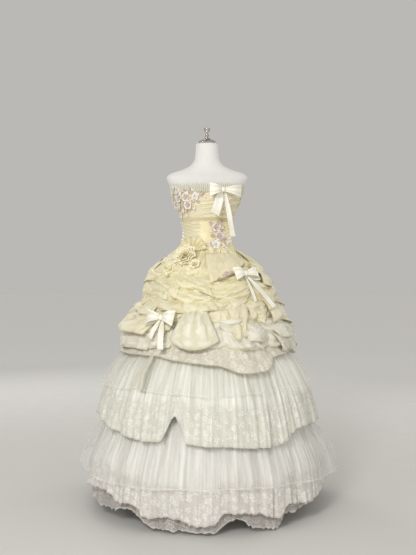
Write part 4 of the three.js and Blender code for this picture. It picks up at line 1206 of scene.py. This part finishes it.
def back_relief(turn, z):
    slant = (z + 0.2 * (180 - abs(turn))) / 10
    return 1.0 + 1.1 * math.cos(2 * math.pi * slant) + 0.4 * math.cos(2 * math.pi * slant * 2.4 + turn / 10)


for name, turns in (("bodice_back_right", (90, 180)), ("bodice_back_left", (-180, -90))):
    back = made(
        name + "_draped",
        drawn_out(60, 150, (0.19, 0.288), panel_place(turns, NECKLINE, BODICE_EDGE, back_relief)),
        chiffon,
        wall=1.6,
    )
    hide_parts(name)


def waist_relief(turn, z):
    """Plain at the middle, with a sheer drape in slanting folds to the left and soft pulls to the right."""
    left = limited((-turn - 8) / 22)
    right = limited((turn - 12) / 30)
    slant = (z + 0.4 * turn) / 15
    wander = noise.noise(Vector((turn / 14, z / 30, 3)))
    drape = 1.1 * (1 + math.cos(2 * math.pi * slant + 3 * wander)) + 1.2 * (1 + wander)
    pulls = 0.6 * (1 + math.cos(2 * math.pi * (z - 0.4 * turn) / 16))
    seam = -0.6 * ridge(z - WAIST_SEAM, 1.4)
    return left * drape + right * pulls + seam


waist_satin = Finish("yellow_satin")
satin_fold_shade = waist_satin.fold()
satin_shade = waist_satin.cloud(waist_satin.cut(9, 14))
satin_across = waist_satin.along(0)
# Painted light on the raised folds and pulls and painted shade between them, mixed with a random cloud.
satin_yellow = waist_satin.mix((satin_shade + satin_fold_shade * 0.4).step(0.3, 0.9), tint("#eddfae"), tint("#f9efc6"))
sheer_drape = waist_satin.mix((satin_shade + satin_fold_shade * 0.4).step(0.3, 1.0), tint("#d9cfa6"), tint("#ebe3c3"))
waist_finish = waist_satin.surface(
    Base_Color=waist_satin.mix(
        (satin_across - SHEER_DRAPE_TO + satin_shade * 0.02).step(0.0, 0.016), sheer_drape, satin_yellow,
    ),
    Roughness=0.34,
    Sheen_Weight=0.3,
    Normal=waist_satin.bump(satin_shade + waist_satin.weave(600) * 0.1, 0.001, 0.5),
)
waist_front = made(
    "waist_front_smooth",
    drawn_out(120, 90, (0.36, 0.136), panel_place((-90, 90), DRAPE_EDGE - JOIN_GAP, BODICE_EDGE, waist_relief)),
    waist_finish,
    wall=1.6,
)
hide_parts("waist_front")

# The frill at the neckline: a band of greenish-cream net in close gathers, drawn in by a narrow casing near its
# top and sewn on along it.
FRILL = {"low": NECKLINE - 26, "casing": NECKLINE - 7, "high": NECKLINE + 14, "gathers": 88}


def frill_place(u, v):
    turn = half_turn(u * 360 - 180)
    z = FRILL["high"] + (FRILL["low"] - FRILL["high"]) * v
    carrier = bodice_radius(turn, min(z, NECKLINE))
    pinch = 0.55 + 0.45 * min(1.0, abs(z - FRILL["casing"]) / 12)
    wave = math.cos(2 * math.pi * FRILL["gathers"] * u + math.sin(14 * math.pi * u))
    edge = 2.5 * math.cos(2 * math.pi * 41 * u) * (v < 0.2) * (0.2 - v) * 5
    return around(turn, carrier + 3.4 + 1.4 * pinch * (1 + wave), z + edge), 0.5 + 0.5 * wave


frill_cloth = Finish("neck_frill")
frill_fold_and_shade = frill_cloth.fold()
frill_net = frill_cloth.weave(300)
frill_finish = frill_cloth.surface(
    # Painted shade in the troughs of the gathers and painted light on their crests. The folds are a little denser too.
    Base_Color=frill_cloth.mix(frill_fold_and_shade, tint("#d9d8c1"), tint("#e8e7d6")),
    Roughness=0.75,
    Sheen_Weight=0.3,
    Alpha=(frill_net * 0.2 + frill_fold_and_shade * 0.15 + 0.6).step(0.0, 1.0),
    Normal=frill_cloth.bump(frill_net, 0.0005),
)
frill = made("neck_frill_gathered", drawn_out(660, 10, (1.15, 0.042), frill_place, closed=True), frill_finish)
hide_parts("neck_frill")

# The corsage on the left hip: a large organza rose with a pleated fan behind it and two smaller flowers, all of
# curled petals wired together and sewn to the waist.
MILLIMETRES = Matrix.Scale(0.001, 4)
CORSAGE_LEAN = 34
ROSE_SHIFT = Vector((0.002, 0.004, 0))
FLOWER_SHIFT = Vector((0, 0.002, 0))


def seated(turn, lean, spot):
    """The frame of a trim that faces out at a turn and leans back with the slope: -Y is outwards."""
    return Matrix.Translation(spot) @ Matrix.Rotation(math.radians(turn), 4, "Z") @ Matrix.Rotation(
        -math.radians(lean), 4, "X")


def middle(node):
    low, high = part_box(node)
    return (low + high) / 2


def add_petal(shape, size, wide, cup, roll, out, spin, tilt, segments=(8, 8)):
    """One petal: a cupped leaf of cloth that starts at the centre and curls over at its rim."""
    petal = bmesh.new()
    bmesh.ops.create_grid(petal, x_segments=segments[0], y_segments=segments[1], size=0.5)
    chart = petal.loops.layers.uv.new("cut")
    fold = petal.verts.layers.float.new("fold")
    for face in petal.faces:
        face.smooth = True
        for loop in face.loops:
            loop[chart].uv = ((loop.vert.co.x + 0.5) * wide / 1000, (0.5 - loop.vert.co.y) * size / 1000)
    for vert in petal.verts:
        u, v = vert.co.x * 2, vert.co.y + 0.5
        half = wide / 2 * math.sin(math.pi * min(1.0, 0.12 + 0.80 * v)) ** 0.7
        length = size * v * (1 - 0.16 * u * u)
        lift = cup * (1 - math.cos(math.pi * 0.5 * v)) + 0.22 * cup * u * u
        curl = roll * max(0.0, v - 0.7) ** 2 / 0.09
        ruffle = 0.05 * size * math.cos(5 * u + spin) * v * v
        # The fold value is low towards the root and the sides of the petal and high towards its rim: painted shade deep
        # in the flower and painted light at the rims.
        vert[fold] = limited(0.5 + 0.5 * v - 0.12 * abs(u))
        vert.co = (u * half, -(lift - curl + ruffle), out + length)
    turn = Matrix.Rotation(math.radians(spin), 4, "Y") @ Matrix.Rotation(math.radians(tilt), 4, "X")
    petal.transform(turn)
    sew_to(shape, petal)


def rose(radius, height, rounds):
    """Rings of petals, wide and open outside and upright in the middle."""
    shape = bmesh.new()
    for ring, (count, size, tilt, cup) in enumerate(rounds):
        for i in range(count):
            spin = 360 * (i + 0.5 * (ring % 2)) / count + 17 * ring
            add_petal(shape, radius * size, radius * size * 1.5, height * cup, height * 0.18, radius * 0.06,
                      spin, tilt)
    return shape


NO_HEM = 9.0
petal_cloth = organza_finish("rose_organza", "#fdf5d4", "#efdfad", "#cfc096", NO_HEM)
rose_shape = rose(57, 14, [(8, 1.0, 2, 0.3), (8, 0.86, 8, 0.4), (7, 0.7, 15, 0.5), (7, 0.55, 24, 0.6),
                           (6, 0.42, 35, 0.6), (5, 0.3, 48, 0.6), (4, 0.18, 64, 0.6)])
rose_shape.transform(seated(-31, CORSAGE_LEAN, middle("hip_rose") + ROSE_SHIFT) @ MILLIMETRES)
hip_rose = made("hip_rose_petals", rose_shape, petal_cloth)
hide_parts("hip_rose")

for name, turn, radius in (("hip_flower_low", -14, 25), ("hip_flower_side", -42, 33)):
    flower = rose(radius, 9, [(6, 1.0, 6, 0.4), (5, 0.68, 26, 0.6), (4, 0.4, 48, 0.7)])
    flower.transform(seated(turn, CORSAGE_LEAN, middle(name) + FLOWER_SHIFT) @ MILLIMETRES)
    small = made(name + "_petals", flower, petal_cloth)
    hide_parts(name)

FAN = {"turn": -26, "lean": 24, "inner": 8, "outer": 74, "pleats": 7, "ridge": 6, "from": 14, "to": 166}
FAN_SETTLED = Vector((-0.012, 0, -0.012))
fan_spot = middle("hip_fan")
fan_seat = seated(FAN["turn"], FAN["lean"], Vector((0, 0, 0)))
fan_middle = fan_seat @ (Vector((0, -5, 40)) / 1000)


def fan_place(u, v):
    angle = math.radians(FAN["to"] + (FAN["from"] - FAN["to"]) * u)
    radius = FAN["outer"] + (FAN["inner"] - FAN["outer"]) * v
    radius *= 1 + 0.05 * math.cos(2 * math.pi * FAN["pleats"] * u) + 0.08 * noise.noise(Vector((6 * u, 0, 2)))
    pleat = FAN["ridge"] * (1 - v) * (1 - abs(math.cos(math.pi * FAN["pleats"] * u)))
    spot = Vector((radius * math.cos(angle), -pleat - 3.5, radius * math.sin(angle))) / 1000
    return fan_seat @ spot + fan_spot - fan_middle + FAN_SETTLED, pleat / 8 + 0.2


fan = made(
    "hip_fan_pleated",
    drawn_out(112, 12, (0.19, 0.066), fan_place),
    organza_finish("fan_organza", "#f7eecb", "#dfd09f", "#b9ab80", NO_HEM),
    wall=0.5,
)
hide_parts("hip_fan")

# The lace appliques on the bust and the waist: embroidered flowers, white with dusty mauve centres, and sprays
# of small leaves between them, cut out and sewn flat to the bodice.
white_lace = Finish("white_applique")
white_cloud = white_lace.cloud(white_lace.solid(160), 3.0)
white_fold_shade = white_lace.fold()
white_finish = white_lace.surface(
    # Painted shade, in a pinkish beige, towards the roots of the petals and leaves, under a random cloud.
    Base_Color=white_lace.mix((white_fold_shade + white_cloud * 0.5).step(0.74, 1.06), tint("#d2b9ad"), tint("#f8f4ea")),
    Roughness=0.7,
    Sheen_Weight=0.3,
    Normal=white_lace.bump(white_cloud, 0.0006),
)
mauve_lace = Finish("mauve_applique")
mauve_cloud = mauve_lace.cloud(mauve_lace.solid(220), 3.0)
mauve_finish = mauve_lace.surface(
    Base_Color=mauve_lace.mix(mauve_cloud.step(0.3, 0.7), tint("#bfa194"), tint("#e3d4ca")),
    Roughness=0.7,
    Sheen_Weight=0.3,
    Normal=mauve_lace.bump(mauve_cloud, 0.0006),
)
BLOOMS = [
    # node, turn, lean, radius
    ("bust_flower_1", -58, 0, 22), ("bust_flower_2", -40, 0, 21), ("bust_flower_3", -22, 0, 19),
    ("bust_flower_4", -64, -8, 19), ("bust_flower_5", -36, -8, 21), ("waist_flower_1", 24, -4, 21),
    ("waist_flower_2", 32, 4, 22), ("waist_flower_3", 20, 14, 20),
]
MAUVE = {"bust_flower_2", "bust_flower_5", "waist_flower_1", "waist_flower_2"}
for name, turn, lean, radius in BLOOMS:
    bloom = rose(radius, 4, [(5, 1.0, 3, 0.3), (5, 0.6, 14, 0.4)])
    marked = len(bloom.faces)
    eye = bmesh.new()
    bmesh.ops.create_uvsphere(eye, u_segments=12, v_segments=8, radius=radius * 0.14)
    bmesh.ops.scale(eye, vec=(1, 0.6, 1), verts=eye.verts)
    bmesh.ops.translate(eye, vec=(0, -3, 0), verts=eye.verts)
    sew_to(bloom, eye)
    for index, face in enumerate(bloom.faces):
        face.smooth = True
        inner = index >= marked // 2
        face.material_index = 1 if index >= marked or (inner and name in MAUVE) else 0
    bloom.transform(seated(turn, lean, middle(name) + around(turn, -1.5, 0)) @ MILLIMETRES)
    patch = made(name + "_embroidered", bloom, white_finish, mauve_finish)
    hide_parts(name)

SPRAYS = [
    # turn, height, way the leaf points in degrees from up, length, mauve
    (-66, 1352, 20, 30, 0), (-54, 1362, -30, 26, 0), (-30, 1352, 40, 20, 1), (-14, 1350, 70, 24, 1),
    (-8, 1344, 110, 18, 0), (-48, 1322, 150, 22, 1), (-52, 1298, 170, 26, 0), (-28, 1300, 140, 20, 0),
    (-60, 1286, 190, 18, 0), (-20, 1322, 100, 18, 1), (-44, 1288, 175, 16, 1), (-70, 1326, -110, 20, 0),
    (14, 1222, -60, 22, 1), (34, 1224, 30, 24, 1), (38, 1206, 60, 22, 1), (16, 1198, -110, 20, 0),
    (26, 1190, 0, 20, 1), (40, 1186, 80, 22, 0), (20, 1174, -90, 22, 1), (42, 1162, 100, 22, 1),
    (22, 1154, -120, 20, 0), (34, 1148, 40, 20, 1), (10, 1140, -80, 22, 0), (32, 1130, 90, 24, 0),
    (44, 1142, 60, 22, 0), (12, 1124, -110, 20, 1), (26, 1118, 160, 18, 0),
    (-72, 1366, 10, 38, 0), (-60, 1372, -50, 34, 0), (-66, 1340, 100, 30, 0), (-46, 1366, 70, 22, 1),
    (-50, 1346, -20, 24, 0), (-30, 1336, 100, 26, 0), (-40, 1312, 60, 26, 0), (-56, 1308, -100, 26, 0),
    (-34, 1366, 20, 20, 1), (-24, 1362, -40, 20, 0), (-46, 1276, 160, 20, 0), (-64, 1300, 200, 20, 1),
    (28, 1216, 0, 26, 1), (22, 1206, -40, 24, 0), (40, 1174, 110, 26, 0), (30, 1166, 10, 24, 1),
    (26, 1138, -30, 24, 0), (38, 1120, 100, 24, 0), (18, 1142, -70, 22, 0), (30, 1196, 60, 26, 1),
    (46, 1128, 20, 24, 0), (34, 1108, 80, 22, 0), (16, 1112, -100, 20, 0), (36, 1214, 120, 20, 0),
    (-82, 1340, -100, 24, 0), (-84, 1322, -80, 22, 0), (-80, 1306, -120, 22, 0), (80, 1352, 100, 22, 0),
    (82, 1334, 80, 22, 0), (80, 1316, 110, 22, 0),
    (-76, 1356, -60, 32, 0), (-70, 1376, -20, 30, 0), (-78, 1332, -90, 30, 0), (-64, 1356, 60, 30, 0),
    (-58, 1344, -70, 28, 0), (-74, 1312, -120, 28, 0), (-68, 1312, 150, 26, 0), (-54, 1330, 40, 24, 0),
    (-36, 1344, 10, 24, 0), (-28, 1322, 60, 22, 0), (-62, 1272, 190, 22, 0),
]
OVERLAY_SPRAYS = [
    # turn, height, way the leaf points in degrees from up, length
    (14, 996, 70, 22), (17, 1003, 30, 20), (20, 1008, 80, 22), (12, 990, -120, 18), (23, 1013, 110, 18),
]
BODICE_LEAF = {"spread": 22, "side": 0.75, "slim": 0.42, "cup": 1.2, "roll": 0.6, "tilt": 3, "lean": 0}
OVERLAY_LEAF = {"spread": 28, "side": 0.7, "slim": 0.36, "cup": 1, "roll": 0.5, "tilt": 2, "lean": 30}
LEAF_OFF_BODICE = 4.6
LEAF_OFF_OVERLAY = 5


def add_leaves(shape, cut, turn, spot, way, length, layer):
    """Three leaves from one point: a long one between two shorter ones."""
    for side in (-cut["spread"], cut["spread"], 0):
        leaf = bmesh.new()
        reach = length * (cut["side"] if side else 1)
        add_petal(leaf, reach, length * cut["slim"], cut["cup"], cut["roll"], 0, way + side, cut["tilt"], (6, 6))
        leaf.transform(seated(turn, cut["lean"], spot) @ MILLIMETRES)
        sew_to(shape, leaf, layer)


sprays = bmesh.new()
for turn, height, way, length, mauve in SPRAYS:
    spot = around(turn, bodice_radius(turn, height) + LEAF_OFF_BODICE, height)
    add_leaves(sprays, BODICE_LEAF, turn, spot, way, length, mauve)
for turn, height, way, length in OVERLAY_SPRAYS:
    share = (OVERLAY["top"] - height) / (OVERLAY["top"] - OVERLAY["point"])
    out = overlay_radius(turn, height, share) + LEAF_OFF_OVERLAY
    add_leaves(sprays, OVERLAY_LEAF, turn, around(turn, out, height), way, length, 1)
spray_piece = made("applique_sprays", sprays, white_finish, mauve_finish)

# The three satin bows: ribbon folded into two loops, bound by a wrapped knot, with two cut tails that hang. They
# are tacked to the bust, the right front of the hip and the left front above the flounce.
BOWS = [
    # name, turn, lean, left reach, right reach, height of the loops
    ("bust_bow", 27, 0, 58, 80, 56),
    ("right_hip_bow", 38, 30, 52, 60, 60),
    ("left_front_bow", -31, 24, 62, 56, 68),
]
TAILS = {
    # side: start, length, width, swing to the right in degrees
    "bust_bow": {"left": (-3, 110, 42, -16), "right": (12, 204, 24, 12)},
    "right_hip_bow": {"left": (-3, 128, 15, 4), "right": (3.5, 184, 26, 31)},
    "left_front_bow": {"left": (-4, 92, 22, -20), "right": (5, 134, 28, 10)},
}
bow_satin = Finish("bow_satin")
bow_fold_shade = bow_satin.fold()
bow_cloud = bow_satin.cloud(bow_satin.cut(40, 20))
bow_finish = bow_satin.surface(
    # Painted light on the crests of the ribbon's folds and painted shade in its creases.
    Base_Color=bow_satin.mix((bow_fold_shade + bow_cloud * 0.3).step(0.2, 0.9), tint("#f1ead2"), tint("#fffdf2")),
    Roughness=0.26,
    Sheen_Weight=0.2,
    Coat_Weight=0.25,
    Coat_Roughness=0.3,
    Normal=bow_satin.bump(bow_cloud + bow_satin.weave(800) * 0.05, 0.0009, 0.5),
)
BOW_OFF = 13
KNOT = {"wide": 8.6, "deep": 9.6, "tall": 0.2}


def loop_place(length, height, way):
    def place(u, v):
        angle = -u * 2 * math.pi * way
        along = (1 - math.cos(angle)) / 2
        crease = 1.8 * math.cos(4 * math.pi * (v - 0.5)) * (1 - along) ** 0.5
        fat = 15 * math.sin(angle) * math.sin(math.pi * (0.12 + 0.78 * along)) ** 0.8
        tall = height * (0.3 + 0.7 * along ** 0.8)
        sag = -2.5 * along * along
        spot = Vector((way * along * length, fat - BOW_OFF - crease, tall * (0.5 - v) + sag)) / 1000
        return spot, 0.5 + 0.35 * math.cos(4 * math.pi * (v - 0.5))

    return place


def tail_place(start, length, width, swing, lean):
    hang = math.radians(swing)

    def place(u, v):
        broad = width * (0.3 + 0.7 * min(1.0, v * 2.8))
        slant = 0.16 * (u - 0.5) * width / length
        along = length * (v + slant * v)
        across = (u - 0.5) * broad
        x = start + across * math.cos(hang) + along * math.sin(hang)
        z = across * math.sin(hang) - along * math.cos(hang)
        ripple = 1.6 * math.sin(7 * v + width) * v + 1.2 * math.cos(2 * math.pi * u) * (1 - v)
        deep = -3.0 - (5 * math.sin(math.pi * v) if lean else 0) - ripple
        return Vector((x, deep, z)) / 1000, 0.6 + 0.3 * math.sin(7 * v + width)

    return place


for name, turn, lean, left, right, height in BOWS:
    knot_tall = height * KNOT["tall"]
    seat = seated(turn, lean, Vector((0, 0, 0)))
    seat = Matrix.Translation(middle(name + "_knot") - seat @ (Vector((0, -BOW_OFF, 0)) / 1000)) @ seat

    knot_shape = bmesh.new()
    bmesh.ops.create_uvsphere(knot_shape, u_segments=40, v_segments=24, radius=1)
    knot_fold_shade = knot_shape.verts.layers.float.new("fold")
    knot_chart = knot_shape.loops.layers.uv.new("cut")
    for face in knot_shape.faces:
        face.smooth = True
        for loop in face.loops:
            loop[knot_chart].uv = (loop.vert.co.x * 0.01, loop.vert.co.z * 0.01)
    for vert in knot_shape.verts:
        pleat = 1 + 0.07 * math.cos(9 * vert.co.x + 1.5 * vert.co.z)
        # Painted light and shade in stripes round the wrapped knot, with its pleats.
        vert[knot_fold_shade] = 0.6 + 0.3 * math.cos(9 * vert.co.x)
        square = Vector((abs(vert.co.x) ** 0.8 * math.copysign(1, vert.co.x), vert.co.y, vert.co.z))
        vert.co = Vector((square.x * KNOT["wide"], square.y * KNOT["deep"] * pleat, square.z * knot_tall)) / 1000
        vert.co.y -= BOW_OFF / 1000
    knot_shape.transform(seat)
    knot = made(name + "_knot_wrapped", knot_shape, bow_finish)
    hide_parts(name + "_knot")

    for side, way, reach in (("left", -1, left), ("right", 1, right)):
        loop_shape = drawn_out(56, 14, (reach * 1.9 / 1000, height / 1000), loop_place(reach, height, way), True)
        loop_shape.transform(seat @ Matrix.Translation(Vector((way * KNOT["wide"] / 1000, 0, 0))))
        bmesh.ops.recalc_face_normals(loop_shape, faces=loop_shape.faces)
        loop = made(f"{name}_{side}_loop_folded", loop_shape, bow_finish, wall=0.9)
        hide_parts(f"{name}_{side}_loop")
        reach * 1.9 / 1000

        start, length, width, swing = TAILS[name][side]
        tail_shape = drawn_out(12, 40, (width / 1000, length / 1000), tail_place(start, length, width, swing, lean))
        tail_shape.transform(seat @ Matrix.Translation(Vector((0, 0, -knot_tall * 0.2 / 1000))))
        tail = made(f"{name}_{side}_tail_cut", tail_shape, bow_finish, wall=0.9)
        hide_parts(f"{name}_{side}_tail")

# The covered buttons of the centre back: small domes under the same satin as the waist, sewn in a row along the
# overlapped edge.
BUTTONS = 6
BUTTON = [(0, 0), (5.4, 0), (6, 0.6), (6, 2.2), (5.2, 3.6), (3.4, 4.6), (1.6, 4.95), (0, 5)]
for number in range(1, BUTTONS + 1):
    dome = spun(BUTTON, 0, 28)
    chart = dome.loops.layers.uv.new("cut")
    dome_fold = dome.verts.layers.float.new("fold")
    for vert in dome.verts:
        vert[dome_fold] = 0.6
    for face in dome.faces:
        for loop in face.loops:
            loop[chart].uv = (loop.vert.co.x, loop.vert.co.y)
    dome.transform(Matrix.Rotation(math.radians(90), 4, "X"))
    low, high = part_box(f"back_button_{number}")
    dome.transform(Matrix.Translation(Vector((0, low.y, (low.z + high.z) / 2))) @ Matrix.Rotation(math.pi, 4, "Z"))
    button = made(f"back_button_{number}_covered", dome, waist_finish)
    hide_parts(f"back_button_{number}")
